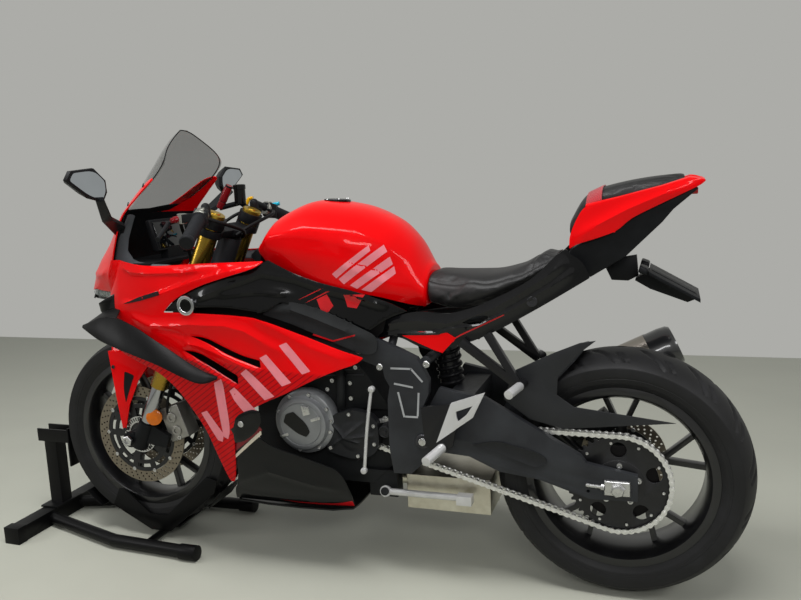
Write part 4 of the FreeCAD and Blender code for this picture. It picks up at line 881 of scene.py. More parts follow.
satin_black = plain("satin_black", colour(13, 14, 15), 0.36, 0.12, 14, 0.05, 650, Coat_Weight=0.25,
    Coat_Roughness=0.2)
belly_outline = [(1048, 196), (1034, 236), (1012, 262), (996, 345), (984, 410), (962, 466), (946, 446),
    (930, 415), (885, 380), (812, 358), (740, 335), (712, 327), (690, 300), (680, 240), (684, 204),
    (830, 196)]
pod_outline = [(1000, 429), (981, 465), (950, 482), (922, 492), (901, 486), (900, 468), (904, 449),
    (928, 419), (968, 393), (997, 388)]


def pod_form(x, z):
    y = fairing_width(x, z) + 7 - 5 * np.clip(pressed(x, z, pod_outline + pod_outline[:1], 1, 22, 22, 0),
        0, 1)
    return x, y, z


for side, hand in ((1, "left"), (-1, "right")):
    pan = skin("belly_" + hand, soft_loop(belly_outline, 5), belly_form, satin_black, "chassis", side, (),
               [belly_crease[1:-1], belly_low[1:-1]], 8.0)
    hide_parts("belly_pan")
    skin("belly_pod_" + hand, soft_loop(pod_outline, 6), pod_form, black_gloss, "chassis", side,
        (), (), 5.0, 6.0, 2.0)
    for name, outline, finish in (("belly_band_red", [(1004, 377), (911, 441), (905, 431), (1006, 356)],
            film_dark_red), ("belly_band_cream", [(1009, 345), (909, 430), (910, 417), (1011, 333)],
            film_cream), ("belly_lip_red", [(905, 208), (815, 206), (720, 214), (684, 226), (683, 206),
            (815, 200)], film_red)):
        film(name + "_" + hand, soft_loop(outline, 1), belly_form, finish, "chassis", side)
    head = repeated("pod_bolt_" + hand, turned_head(8.5, 4, 4, 20),
        [(place(961, side * (float(fairing_width(np.array([961.0]), np.array([448.0]))[0]) + 6.5), 448),
        (0, side, 0), (0, 0, 1))], bright_steel, "chassis")
verts, faces, n = [], [], 17
for i, (x, half, z) in enumerate([(684, 158, 204), (740, 166, 198), (840, 168, 196), (940, 166, 196),
        (1030, 160, 197), (1050, 128, 200)]):
    for k in range(n):
        t = -1 + 2 * k / (n - 1)
        verts.append(place(x, half * t, z - 7 * (1 - t ** 4)))
for i in range(5):
    for k in range(n - 1):
        faces.append((i * n + k, i * n + k + 1, (i + 1) * n + k + 1, (i + 1) * n + k))
floor_mesh = bpy.data.meshes.new("belly_floor")
floor_mesh.from_pydata(verts, [], faces)
belly_floor = bpy.data.objects.new("belly_floor", floor_mesh)
bpy.context.scene.collection.objects.link(belly_floor)
tidy(belly_floor)
wall = belly_floor.modifiers.new("wall", "SOLIDIFY")
wall.thickness = 0.004
settle(belly_floor, satin_black, "chassis")

# ---- Nose cowl ----
# One red moulding that wraps the front from side to side and comes to a soft keel over
# two slim lamps, with two strips that run up beside the screen.

NOSE = np.array([
    # z, x on the centre line, x of the sides, half width
    (770, 1592, 1410, 128), (860, 1545, 1352, 198), (930, 1486, 1332, 198), (1000, 1437, 1312, 190),
    (1060, 1388, 1257, 182), (1110, 1350, 1200, 174)], float)
SCREEN = np.array([
    (1006, 1430, 1372, 126), (1060, 1386, 1278, 150), (1120, 1338, 1200, 156), (1153, 1309, 1177, 150),
    (1182, 1285, 1186, 128), (1212, 1259, 1200, 80), (1234, 1238, 1208, 38), (1244, 1226, 1212, 16)], float)


def wrapped(rows, inset=0.0):
    """A form bowed round the front to a soft keel; a place is (share of the way x 200, height)."""
    def form(s, z):
        front, back, half = (eased(rows[:, 0], rows[:, c], z) for c in (1, 2, 3))
        share = np.clip(s / 200, -1, 1)
        bow = np.clip(np.hypot(share, 0.06) - 0.06, 0, 1) ** 1.3
        return (back + (front - back) * (1 - bow) - inset * 0.8, (half - inset * 0.6) * share, z)
    return form


def on_nose(s, z, rows=NOSE, inset=0.0):
    """One point of a bowed form, in millimetres."""
    return tuple(float(v[0]) for v in wrapped(rows, inset)(np.array([float(s)]), np.array([float(z)])))


def nose_form(s, z):
    x, y, z = wrapped(NOSE)(s, z)
    brow = sum(pressed(s, z, [(hand * 20, 838), (hand * 90, 832), (hand * 150, 842),
        (hand * 190, 866)][::hand], 5, 22, 26, 40) for hand in (1, -1))
    keel = pressed(s, z, [(0, 770), (0, 1010)], 3, 22, 22, 40)
    return x + brow * 0.8 + keel, y + brow * np.sign(s) * 0.6, z


def ruled(name, first, second, finish, body, across_steps=6, sag=0.0, thick=2.5, soften=40, edge=0.6):
    """A moulded strip between two lines of points, bowed a little out of flat."""
    rows = []
    for p, q in zip(first, second):
        p, q = Vector(p), Vector(q)
        rows.append([p + (q - p) * t + Vector((0, 0, sag * 4 * t * (1 - t)))
                     for t in (k / across_steps for k in range(across_steps + 1))])
    verts = [place(*p) for row in rows for p in row]
    n = across_steps + 1
    faces = [(i * n + k, i * n + k + 1, (i + 1) * n + k + 1, (i + 1) * n + k)
             for i in range(len(rows) - 1) for k in range(across_steps)]
    mesh = bpy.data.meshes.new(name)
    mesh.from_pydata(verts, [], faces)
    piece = bpy.data.objects.new(name, mesh)
    bpy.context.scene.collection.objects.link(piece)
    tidy(piece)
    wall = piece.modifiers.new("wall", "SOLIDIFY")
    wall.thickness = thick / 1000
    rim = piece.modifiers.new("rim", "BEVEL")
    rim.width, rim.segments, rim.limit_method, rim.angle_limit = edge / 1000, 2, "ANGLE", math.radians(55)
    return settle(piece, finish, body, soften)


half_nose = [(0, 776), (50, 782), (80, 788), (135, 788), (189, 790), (198, 800), (200, 840), (200, 880),
    (199, 917), (200, 958), (200, 1010), (200, 1060), (199, 1104), (188, 1110), (168, 1104), (152, 1080),
    (138, 1056), (116, 1028), (80, 1014), (0, 1018)]
nose_outline = half_nose + [(-s, z) for s, z in reversed(half_nose[1:-1])]
nose_panel = skin("nose_cowl_skin", soft_loop(nose_outline, 6), nose_form, red_paint, "chassis", 1, (),
                  [[(0, 800), (0, 1000)]], 7.5, 3.5, 1.2, (1, 0, 0))
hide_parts("nose_cowl")
tray_plastic = plain("tray_plastic", colour(21, 22, 24), 0.42, 0.12, 30, 0.2, 700)
half_liner = [(0, 784), (120, 792), (188, 800), (196, 880), (196, 958), (192, 1004), (120, 1008), (0, 1008)]
for side, hand in ((1, "left"), (-1, "right")):
    seam = [(1398, 774), (1388, 790), (1380, 800), (1366, 825), (1352, 850), (1342, 872), (1334, 888)]
    brim = [(x, side * (float(fairing_width(np.array([float(x)]), np.array([float(z)]))[0]) - 1), z)
        for x, z in seam]
    root = [on_nose(side * 199, max(z, 782)) for _, z in seam]
    ruled("nose_joint_" + hand, brim, [(x + 4, y, z) for x, y, z in root], red_paint, "chassis", 3)
nose_liner = skin("nose_liner", half_liner + [(-s, z) for s, z in reversed(half_liner[1:-1])],
    wrapped(NOSE, 8), tray_plastic, "chassis", 1, step=14, thick=2, edge=0, facing=(1, 0, 0))

# ---- Headlamps and intake ----
# Black housings tucked under the nose behind clear lenses, each with two small
# projectors, and a glossy black cheek outboard of each lamp.

lamp_glass = plain("lamp_glass", colour(120, 128, 126), 0.05, 0.02, 20, Alpha=0.5, Coat_Weight=1.0,
    Coat_Roughness=0.02)
lamp_body = plain("lamp_body", colour(16, 16, 18), 0.3, 0.1, 40, Coat_Weight=0.4)
lamp_light = plain("lamp_light", colour(225, 230, 236), 0.1, 0.04, 60, Metallic=0.4, Coat_Weight=1.0)
lamp_gap = [(30, 772), (60, 768), (128, 766), (186, 770), (192, 786), (135, 786.5), (80, 786), (50, 780)]
for hand, word in ((1, "left"), (-1, "right")):
    gap = [(hand * s, z) for s, z in lamp_gap]
    lens = skin("headlamp_lens_" + word, soft_loop(gap, 3), wrapped(NOSE, 4), lamp_glass, "chassis", 1,
        step=6, thick=1.5, edge=0, facing=(1, 0, 0))
    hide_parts("headlamps")
    shell = [(hand * s, z) for s, z in ((20, 752), (188, 756), (197, 792), (120, 800), (20, 796))]
    skin("headlamp_shell_" + word, shell, wrapped(NOSE, 22), lamp_body, "chassis", 1, step=10,
        thick=2, edge=0, facing=(1, 0, 0))
    strip = [(hand * s, z) for s, z in ((62, 784), (70, 784), (88, 767.5), (80, 767))]
    skin("headlamp_strip_" + word, strip, wrapped(NOSE, 7), lamp_light, "chassis", 1, step=4,
        thick=1, edge=0, facing=(1, 0, 0))
    eyes = [(place(*on_nose(hand * s, 776, NOSE, 14)), (0.9, hand * 0.35, -0.12), (0, 0, 1))
        for s in (100, 150)]
    dome = [(8.5, -12), (8.5, 0), (7.8, 2.4), (5.6, 4.6), (3.0, 5.8), (0.8, 6.2)]
    verts = [(r * math.cos(2 * math.pi * k / 20) / 1000, r * math.sin(2 * math.pi * k / 20) / 1000,
        h / 1000) for r, h in dome for k in range(20)]
    faces = [(j * 20 + k, j * 20 + (k + 1) % 20, (j + 1) * 20 + (k + 1) % 20, (j + 1) * 20 + k)
             for j in range(len(dome) - 1) for k in range(20)]
    faces += [tuple(range(100, 120)), tuple(reversed(range(20)))]
    repeated("headlamp_eyes_" + word, (verts, faces), eyes, lamp_light, "chassis")
mesh_black = plain("intake_mesh", colour(14, 14, 15), 0.5, 0.1, 60, 0.4, 260)
skin("intake_mesh", [(-46, 752), (46, 752), (46, 780), (-46, 780)], wrapped(NOSE, 12), mesh_black,
             "chassis", 1, step=8, thick=2, edge=0, facing=(1, 0, 0))


for side, hand in ((1, "left"), (-1, "right")):
    outer = [(1428, side * 188, 764), (1408, side * 196, 772), (1385, side * 196, 784),
        (1352, side * 196, 798), (1338, side * 196, 790)]
    lower = [(1430, side * 178, 738), (1418, side * 188, 732), (1396, side * 196, 735),
        (1362, side * 200, 742), (1340, side * 204, 762)]
    ruled("intake_cheek_" + hand, outer, lower, black_gloss, "chassis", 4, 0.0, 10.0, 40, 3.0)

# ---- Screen ----
# Clear acrylic with a grey tint, 3 mm thick, bowed round the dash to a keel with a raised
# bubble up the middle; a dark band closes its foot and bosses hold it to the strips.

tint = Finish("tinted_acrylic", Coat_Weight=0.6, Coat_Roughness=0.02, Roughness=0.08,
    Specular_IOR_Level=0.5)
haze = tint.noise(3, 2.0).step(0.3, 0.7)
tint.link(Base_Color=haze.blend(colour(40, 41, 38), colour(48, 49, 45)), Alpha=haze * 0.03 + 0.33)


def screen_form(s, z):
    x, y, z = wrapped(SCREEN)(s, z)
    return x + 6 * np.exp(-(y / 58.0) ** 2) * np.clip((z - 1030) / 60, 0, 1) * np.clip((1246 - z) / 30, 0,
        1), y, z


def round_bar(name, line, radius, finish, body, sides=12, closed_ends=True):
    """A drawn bar or tube that bends smoothly through its points."""
    curve = bpy.data.curves.new(name, "CURVE")
    curve.dimensions, curve.bevel_depth, curve.bevel_resolution = "3D", radius / 1000, 3
    curve.use_fill_caps = closed_ends
    spline = curve.splines.new("NURBS")
    spline.points.add(len(line) - 1)
    for point, spot in zip(spline.points, line):
        point.co = (*place(*spot), 1.0)
    spline.order_u, spline.use_endpoint_u, spline.resolution_u = 3, True, 8
    model = bpy.data.objects.new(name + "_line", curve)
    bpy.context.scene.collection.objects.link(model)
    graph = bpy.context.evaluated_depsgraph_get()
    mesh = bpy.data.meshes.new_from_object(model.evaluated_get(graph))
    bpy.data.objects.remove(model)
    piece = bpy.data.objects.new(name, mesh)
    bpy.context.scene.collection.objects.link(piece)
    tidy(piece)
    return settle(piece, finish, body, 50)


half_screen = [(0, 1012), (120, 1006), (170, 1012), (196, 1040), (199.5, 1075), (199.5, 1120),
    (199.5, 1182), (199.5, 1196), (199.5, 1214), (199.5, 1234), (190, 1243), (0, 1243.5)]
screen_outline = half_screen + [(-s, z) for s, z in reversed(half_screen[1:-1])]
screen_sheet = skin("screen_sheet", soft_loop(screen_outline, 3), screen_form, tint, "chassis", 1, step=9,
    thick=3.0, edge=0.8, facing=(1, 0, 0))
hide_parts("windscreen")
edge_line = [on_nose(s, z, SCREEN) for s, z in ((-199, 1046), (-199, 1090), (-199, 1130), (-199, 1160),
    (-199, 1185), (-199, 1215), (-190, 1240), (0, 1244), (190, 1240), (199, 1215), (199, 1185),
    (199, 1160), (199, 1130), (199, 1090), (199, 1046))]
round_bar("screen_rim", edge_line, 1.6, tray_plastic, "chassis", 8)
half_band = [(0, 1003), (120, 1003), (178, 1006), (190, 1030), (150, 1030), (80, 1022), (0, 1022)]
skin("screen_band", half_band + [(-s, z) for s, z in reversed(half_band[1:-1])], wrapped(SCREEN, 5),
             tray_plastic, "chassis", 1, step=10, thick=2, edge=0.4, facing=(1, 0, 0))
bosses = []
for s, z in ((168, 1090), (154, 1040), (-168, 1090), (-154, 1040)):
    out = Vector((0.8, math.copysign(0.6, s), 0.3))
    bosses.append((place(*on_nose(s, z)) + out * 0.001, out, (0, 0, 1)))
repeated("screen_bolts", turned_head(6.0, 3.0, 2.6, 16), bosses,
    plain("bolt_black", colour(22, 22, 24), 0.35), "chassis")

# ---- Cockpit ----
# Satin grey rims inside the nose strips, the shelves over the fairing's edges and the
# instrument in its housing, held by clips and a bright bolt on each side.

lining = plain("cockpit_lining", colour(62, 64, 68), 0.45, 0.1, 20, 0.18, 800)
rim_grey = plain("cockpit_rim", colour(84, 87, 91), 0.4, 0.08, 20, 0.12, 800)
rim_outer = [(1306, 176, 1012), (1322, 175, 985), (1344, 173, 950), (1362, 172, 915), (1366, 172, 880),
             (1330, 176, 870), (1260, 182, 866), (1180, 186, 866)]
rim_inner = [(1300, 152, 1008), (1309, 150, 992), (1329, 150, 945), (1336, 150, 910), (1318, 152, 884),
             (1295, 158, 876), (1240, 170, 870), (1178, 178, 868)]
shelf_edge = [(1330, 196, 876), (1268, 214, 872), (1194, 222, 868), (1110, 226, 872), (1050, 226, 874),
    (960, 218, 876), (900, 206, 876)]
shelf = [(1320, 150, 868), (1262, 158, 860), (1190, 166, 854), (1110, 160, 852), (1050, 156, 856),
    (960, 152, 862), (905, 150, 868)]
for side, hand in ((1, "left"), (-1, "right")):
    flip = [[(x, side * y, z) for x, y, z in line] for line in (rim_outer, rim_inner, shelf_edge, shelf)]
    ruled("cockpit_rim_" + hand, flip[0], flip[1], rim_grey, "chassis", 4, 3.0)
    ruled("fairing_shelf_" + hand, flip[2], flip[3], lining, "chassis", 5)
repeated("rim_bolts", turned_head(5.5, 2.5, 2.6, 16),
    [(place(1354, side * 162, 898), (-0.6, 0, 0.8), (0, 1, 0)) for side in (1, -1)], bright_steel,
    "chassis")

dash_back = plain("dash_back", colour(26, 27, 29), 0.5, 0.1, 30, 0.2, 700)
dash_glass = plain("dash_glass", colour(10, 12, 15), 0.08, 0.1, 20, Coat_Weight=1.0, Coat_Roughness=0.02)


def block(name, corners, finish, body, width=2.0, segments=3, soften=40):
    """A moulded block between eight corners (four low, four high), with rounded edges."""
    faces = [(3, 2, 1, 0), (4, 5, 6, 7), (0, 1, 5, 4), (1, 2, 6, 5), (2, 3, 7, 6), (3, 0, 4, 7)]
    mesh = bpy.data.meshes.new(name)
    mesh.from_pydata([place(*c) for c in corners], [], faces)
    piece = bpy.data.objects.new(name, mesh)
    bpy.context.scene.collection.objects.link(piece)
    tidy(piece)
    edge = piece.modifiers.new("edge", "BEVEL")
    edge.width, edge.segments, edge.limit_method = width / 1000, segments, "NONE"
    return settle(piece, finish, body, soften)


dash_body = block("dash_body", [(1280, -84, 898), (1302, -84, 898), (1302, 84, 898), (1280, 84, 898),
                                (1302, -86, 992), (1322, -82, 988), (1322, 82, 988), (1302, 86, 992)],
                  dash_back, "chassis", 6)
block("dash_glass", [(1277, -74, 908), (1283, -74, 906), (1283, 74, 906), (1277, 74, 908),
                             (1296, -76, 984), (1302, -76, 982), (1302, 76, 982), (1296, 76, 984)],
              dash_glass, "chassis", 2)
dress("inner_cowl", dash_back)

# ---- Fuel tank ----
# A pressed steel tank under a painted cover: a high crown in front, creased along its
# shoulders, and narrow between the rider's knees. The filler sits in a flush ring.

TANK = np.array([
    # x, half width, floor, height of the widest line, crown
    (482, 100, 745, 780, 850), (520, 122, 755, 825, 918),
    (580, 150, 775, 870, 972), (680, 178, 800, 915, 1012),
    (780, 186, 830, 935, 1026), (876, 172, 855, 930, 994), (918, 148, 885, 905, 938)], float)
CROWN, SHOULDER = 1.75, 2.3
tank_fold = [(925, 915), (876, 944), (767, 962), (635, 950), (564, 908), (520, 860)]
knee_fold = [(905, 908), (800, 905), (700, 880), (610, 835), (520, 790)]


def tank_side(x, z):
    half, floor, widest, crown = (eased(TANK[:, 0], TANK[:, c], x) for c in (1, 2, 3, 4))
    t = np.clip((z - widest) / (crown - widest), 0, 1)
    y = half * (1 - t ** CROWN) ** (1 / SHOULDER)
    tuck = np.clip((widest - z) / (widest - floor), 0, 1.2)
    y = y - 16 * tuck ** 2
    knee = np.exp(-((x - 560) / 90.0) ** 2) * np.exp(-((z - 850) / 60.0) ** 2)
    y = y - 12 * knee + pressed(x, z, tank_fold, 6, 24, 40) + pressed(x, z, knee_fold, 4, 26, 30)
    return x, y, z


def ringed(name, rings, finish, body, soften=35, close=True):
    """A closed body through rings of points that all have the same count."""
    n = len(rings[0])
    verts = [place(*p) for ring in rings for p in ring]
    faces = [(i * n + k, i * n + (k + 1) % n, (i + 1) * n + (k + 1) % n, (i + 1) * n + k)
             for i in range(len(rings) - 1) for k in range(n)]
    if close:
        faces += [tuple(range(n)), tuple(reversed(range((len(rings) - 1) * n, len(rings) * n)))]
    return finished(name, verts, faces, finish, body, soften)


def tank_ring(x, shrink=0.0, steps=26):
    half, floor, widest, crown = (float(eased(TANK[:, 0], TANK[:, c], x)[0]) for c in (1, 2, 3, 4))
    ring = []
    heights = [floor + (widest - floor) * k / 5 for k in range(5)]
    for k in range(steps + 1):
        a = math.pi / 2 * k / steps
        heights.append(widest + (crown - widest) * math.sin(a) ** (2 / CROWN))
    zs = np.array(heights)
    ys = tank_side(np.full(zs.shape, float(x)), zs)[1]
    ys[-1] = 0.0
    middle = (floor + crown) / 2
    left = [(x, y * (1 - shrink), middle + (z - middle) * (1 - shrink)) for y, z in zip(ys, zs)]
    return left + [(px, -py, pz) for px, py, pz in reversed(left[:-1])]


stations = [482 + (918 - 482) * k / 72 for k in range(73)]
rings = [[(x - 7, y, z) for x, y, z in tank_ring(482, 0.16)],
    [(x - 5, y, z) for x, y, z in tank_ring(482, 0.06)]]
rings += [tank_ring(x) for x in stations]
rings += [[(x + 4, y, z) for x, y, z in tank_ring(918, 0.04)],
    [(x + 6, y, z) for x, y, z in tank_ring(918, 0.12)]]
tank_body = ringed("tank_cover", rings, red_paint, "chassis", 42)
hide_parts("fuel_tank")

tank_bars = [[(684, 828), (672, 814), (562, 893), (570, 911)],
    [(657, 811), (640, 801), (550, 860), (556, 880)], [(630, 798), (606, 791), (544, 836), (547, 855)],
    [(700, 842), (690, 830), (600, 898), (604, 912)]]
for side, hand in ((1, "left"), (-1, "right")):
    for k, bar in enumerate(tank_bars):
        film("tank_bar_%s_%d" % (hand, k + 1), soft_loop(bar, 1.5), tank_side, film_pink, "chassis", side)


def turned_piece(name, profile, centre, axis, finish, body, sides=48, soften=30):
    """A turned part: (radius, height) pairs about an axis through a centre in millimetres."""
    axis = Vector(axis).normalized()
    u = axis.orthogonal().normalized()
    v = axis.cross(u)
    verts, faces = [], []
    for r, h in profile:
        for k in range(sides):
            a = 2 * math.pi * k / sides
            p = Vector(centre) + axis * h + (u * math.cos(a) + v * math.sin(a)) * max(r, 0.01)
            verts.append(place(*p))
    for j in range(len(profile) - 1):
        for k in range(sides):
            m = (k + 1) % sides
            faces.append((j * sides + k, j * sides + m, (j + 1) * sides + m, (j + 1) * sides + k))
    faces += [tuple(range(sides)), tuple(reversed(range((len(profile) - 1) * sides, len(profile) * sides)))]
    return finished(name, verts, faces, finish, body, soften)


cap_axis = (-0.08, 0, 1)
turned_piece("filler_ring", [(30, -6), (37, -6), (37, 3), (35.5, 4.5), (31, 4.5), (30, 3)],
                     (745, 0, 1022), cap_axis, black_gloss, "chassis")
turned_piece("filler_cap", [(29, -4), (29, 3.5), (27.5, 5.0), (14, 5.6), (2, 5.8)], (745, 0, 1022),
                     cap_axis, dark_steel, "chassis")
repeated("filler_bolts", turned_head(3.2, 2.0, 1.5, 12),
    [(place(745 + 33.4 * math.cos(math.radians(60 * k)), 33.4 * math.sin(math.radians(60 * k)), 1026.2),
    cap_axis, (1, 0, 0)) for k in range(6)], bright_steel, "chassis")

# ---- Seats ----
# Moulded foam pads under black grained leather, stretched over and stapled below, with
# sewn seams along both sides and across the rider's seat.

leather = Finish("seat_leather", Specular_IOR_Level=0.4, Sheen_Weight=0.03)
hide = leather.noise(420, 3.0)
folds = leather.noise(9, 3.0)
leather.link(Base_Color=(folds * 0.6 + hide * 0.3).step(0.2, 0.8).blend(colour(10, 10, 11),
    colour(20, 20, 22)), Roughness=hide * 0.18 + folds * 0.12 + 0.34)
leather.bump(hide + folds * 1.2, 0.3, 0.0006)


def arch_ring(row, steps=30):
    """One arched section: x, half width, floor, side top and crown."""
    x, half, floor, side, crown = row
    ring = [(x, half * 0.94, floor), (x, half * 0.985, floor + (side - floor) * 0.3),
        (x, half, floor + (side - floor) * 0.6)]
    for k in range(steps + 1):
        a = math.pi / 2 * k / steps
        ring.append((x, half * math.cos(a) ** (2 / 2.6),
            side - 6 + (crown - side + 6) * math.sin(a) ** (2 / 1.9)))
    ring[-1] = (x, 0.0, crown)
    return ring + [(px, -py, pz) for px, py, pz in reversed(ring[:-1])]


def stuffed(name, rows, node, cap, inset, seams):
    """A foam pad: its form is swollen by cloth pressure, within a cap, then sewn down."""
    rows = np.array(rows, float)
    order = np.argsort(rows[:, 0])
    rows = rows[order]
    rings = []
    low, high = rows[0, 0] + inset, rows[-1, 0] - inset
    for k in range(41):
        x = low + (high - low) * k / 40
        half, floor, side, crown = (float(eased(rows[:, 0], rows[:, c], x)[0]) for c in (1, 2, 3, 4))
        rings.append(arch_ring((x, half - inset, floor + inset * 0.5, side - inset, crown - inset)))
    pad = ringed(name, rings, leather, "chassis", 60)
    mesh = pad.data
    cells = pad.modifiers.new("cells", "REMESH")
    cells.mode, cells.voxel_size = "VOXEL", 0.0055
    graph = bpy.context.evaluated_depsgraph_get()
    pad.data = bpy.data.meshes.new_from_object(pad.evaluated_get(graph))
    pad.modifiers.clear()
    before = np.array([v.co[:] for v in pad.data.vertices])
    foam = pad.modifiers.new("foam", "CLOTH")
    foam.settings.use_pressure = True
    foam.settings.uniform_pressure_force = 4.0
    foam.settings.effector_weights.gravity = 0.0
    foam.settings.quality = 5
    foam.point_cache.frame_start, foam.point_cache.frame_end = 1, 20
    scene = bpy.context.scene
    for frame_number in range(1, 21):
        scene.frame_set(frame_number)
    graph = bpy.context.evaluated_depsgraph_get()
    swollen = pad.evaluated_get(graph).data
    after = np.array([v.co[:] for v in swollen.vertices])
    pad.modifiers.clear()
    move = after - before
    size = np.linalg.norm(move, axis=1, keepdims=True)
    move *= np.minimum(1.0, cap / 1000 / np.maximum(size, 1e-9))
    pad.data.vertices.foreach_set("co", (before + move).ravel())
    scene.frame_set(1)
    finer = pad.modifiers.new("finer", "SUBSURF")
    finer.levels = finer.render_levels = 1
    settle(pad, leather, "chassis", 60)
    # the sewn channels press the cover down along their lines
    co = np.array([v.co[:] for v in pad.data.vertices])
    x, y, z = (co[:, 0] - AXLE_X) * 1000, co[:, 1] * 1000, co[:, 2] * 1000
    drop = np.zeros(len(co))
    for line, depth, width in seams:
        for hand in (1, -1):
            gap = np.full(len(co), 1e9)
            for (ax, ay), (bx, by) in zip(line[:-1], line[1:]):
                length = math.dist((ax, ay), (bx, by))
                ux, uy = (bx - ax) / length, (by - ay) / length
                run = np.clip((x - ax) * ux + (y * hand - ay) * uy, 0, length)
                gap = np.minimum(gap, np.hypot(x - ax - run * ux, y * hand - ay - run * uy))
            drop = np.maximum(drop, depth * np.exp(-(gap / width) ** 2))
    crown = eased(rows[:, 0], rows[:, 3], x)
    drop *= np.clip((z - crown + 26) / 16, 0, 1)
    co[:, 2] -= drop / 1000
    pad.data.vertices.foreach_set("co", co.ravel())
    pad.data.update()
    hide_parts(node)
    return pad


RIDER_SEAT = [(478, 92, 760, 800, 838), (403, 118, 745, 795, 828), (322, 138, 762, 800, 826),
              (242, 132, 795, 820, 841), (190, 118, 822, 845, 868), (142, 96, 856, 872, 891)]
PILLION = [(118, 70, 905, 930, 945), (74, 96, 935, 995, 1013), (30, 96, 960, 1010, 1031),
    (-70, 86, 995, 1030, 1048), (-150, 60, 1024, 1040, 1054)]
side_seam = [(470, 70), (403, 92), (322, 112), (242, 106), (190, 94), (150, 74)]
stuffed("rider_pad", RIDER_SEAT, "rider_seat", 7.0, 4.0,
    [(side_seam, 3.0, 4.0), ([(196, 0), (204, 120)], 2.5, 4.0)])
stuffed("pillion_pad", PILLION, "pillion_seat", 6.0, 4.0,
    [([(60, 70), (0, 68), (-70, 60), (-130, 42)], 2.5, 3.5)])

# ---- Strap ----
# A red woven strap over the front of the passenger's pad, tucked in at both sides.

woven_red = Finish("woven_red_strap", Roughness=0.7, Sheen_Weight=0.3)
warp = (woven_red.axis("Y") * 2600.0).math("SINE")
weft = (woven_red.axis("X") * 2200.0 + woven_red.axis("Z") * 2200.0).math("SINE")
weave = warp * weft
woven_red.link(Base_Color=weave.step(-0.8, 0.8).blend(colour(140, 8, 22), colour(186, 16, 34)))
woven_red.bump(weave, 0.35, 0.0006)
verts, faces = [], []
for k in range(41):
    a = math.pi * k / 40
    for along, lift in ((-18, 0.0), (-17, 2.2), (17, 2.2), (18, 0.0)):
        x = 56 + along
        half, floor, side, crown = (float(eased(np.array(PILLION)[::-1, 0], np.array(PILLION)[::-1, c],
            x)[0]) for c in (1, 2, 3, 4))
        y = (half + 4 + lift) * (abs(math.cos(a)) ** 0.77) * (1 if math.cos(a) > 0 else -1)
        z = side - 8 + (crown - side + 12 + lift) * math.sin(a) ** 1.05
        if k in (0, 40):
            z -= 40
        verts.append(place(x, y, z))
for k in range(40):
    for j in range(4):
        m = (j + 1) % 4
        faces.append((k * 4 + j, k * 4 + m, (k + 1) * 4 + m, (k + 1) * 4 + j))
faces += [(0, 1, 2, 3), (163, 162, 161, 160)]
finished("pillion_strap", verts, faces, woven_red, "chassis", 50)

# ---- Tail cowl ----
# Two red side mouldings that sweep up to a point, over a grained black tray with the
# tail lamp's slim red lens across its end.

tail_outline = [(112, 890), (111, 921), (96, 958), (79, 986), (61, 993), (-4, 1008), (-94, 1029),
    (-153, 1046), (-188, 1039), (-176, 1028), (-145, 1014), (-80, 984), (-26, 958), (3, 930), (50, 914),
    (96, 901)]
tail_fold = [(104, 912), (50, 944), (-20, 980), (-100, 1012), (-176, 1034)]
tail_top = [(74, 990), (-4, 1006), (-94, 1027), (-153, 1044), (-184, 1039)]


def tail_form(x, z):
    y = 114 - 0.00022 * np.clip(60 - x, 0, 400) ** 2 - 10 * np.clip((z - 998 + x * 0.22) / 60, 0, 1) ** 2
    y = y - 16 * np.clip(1 - (z - (906 - 0.43 * np.clip(x - 3, -200, 0))) / 60, 0,
        1) ** 2 * np.clip((20 - x) / 60, 0, 1)
    y = y + pressed(x, z, tail_fold, 7, 26, 40)
    return x, y, z


for side, hand in ((1, "left"), (-1, "right")):
    cowl = skin("tail_cowl_" + hand, soft_loop(tail_outline, 5), tail_form, red_paint, "chassis", side,
        (), [tail_fold[1:-1]], 7.0, 4.0, 1.5)
    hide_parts("tail_cowl")
    # the cowl's upper edge rolls in to the passenger's pad
    roll_out = [(x, side * (float(tail_form(np.array([float(x)]), np.array([float(z)]))[1][0]) - 1.0),
        z - 0.5) for x, z in tail_top]
    roll_in = [(x, side * float(np.interp(x, [-184, -150, -70, 30, 80], [44, 58, 84, 92, 92])), z + 3)
        for x, z in tail_top]
    ruled("tail_roll_" + hand, roll_out, roll_in, red_paint, "chassis", 5, 3.0, 3.0)
ruled("tail_bridge", [(-152, y, 1050) for y in (-60, -30, 0, 30, 60)],
    [(-186, y * 0.8, 1040) for y in (-60, -30, 0, 30, 60)], red_paint, "chassis", 5, 3.0, 4.0)

rounded("undertail", tray_plastic, 0.004, 28, 3)
lens_red = plain("tail_lens", colour(170, 8, 14), 0.12, 0.1, 60, 0.2, 120, Coat_Weight=1.0)
rounded("tail_lamp", lens_red, 0.003, 28, 3)

# ---- Side covers under the seat ----
# Satin grey-black mouldings with a gloss roll along the top, a window over the frame
# rail, a lower black band with a fine red line, and the seat lock's disc.

cover_outline = [(629, 696), (600, 710), (561, 722), (508, 739), (460, 742), (409, 735), (366, 745),
    (326, 758), (241, 797), (193, 826), (160, 858), (138, 880), (117, 894), (108, 880), (80, 862),
    (63, 823), (118, 790), (175, 756), (283, 695), (355, 663), (444, 640), (486, 649), (540, 678),
    (613, 669)]
cover_window = [(371, 714), (336, 733), (306, 733), (303, 726), (336, 708)]
cover_fold = [(600, 700), (540, 714), (480, 718), (410, 712), (350, 728), (290, 752), (220, 792),
    (160, 830), (118, 868)]
band_fold = [(613, 672), (540, 684), (470, 686), (434, 688), (403, 699), (330, 708), (240, 752),
    (160, 800), (100, 842)]


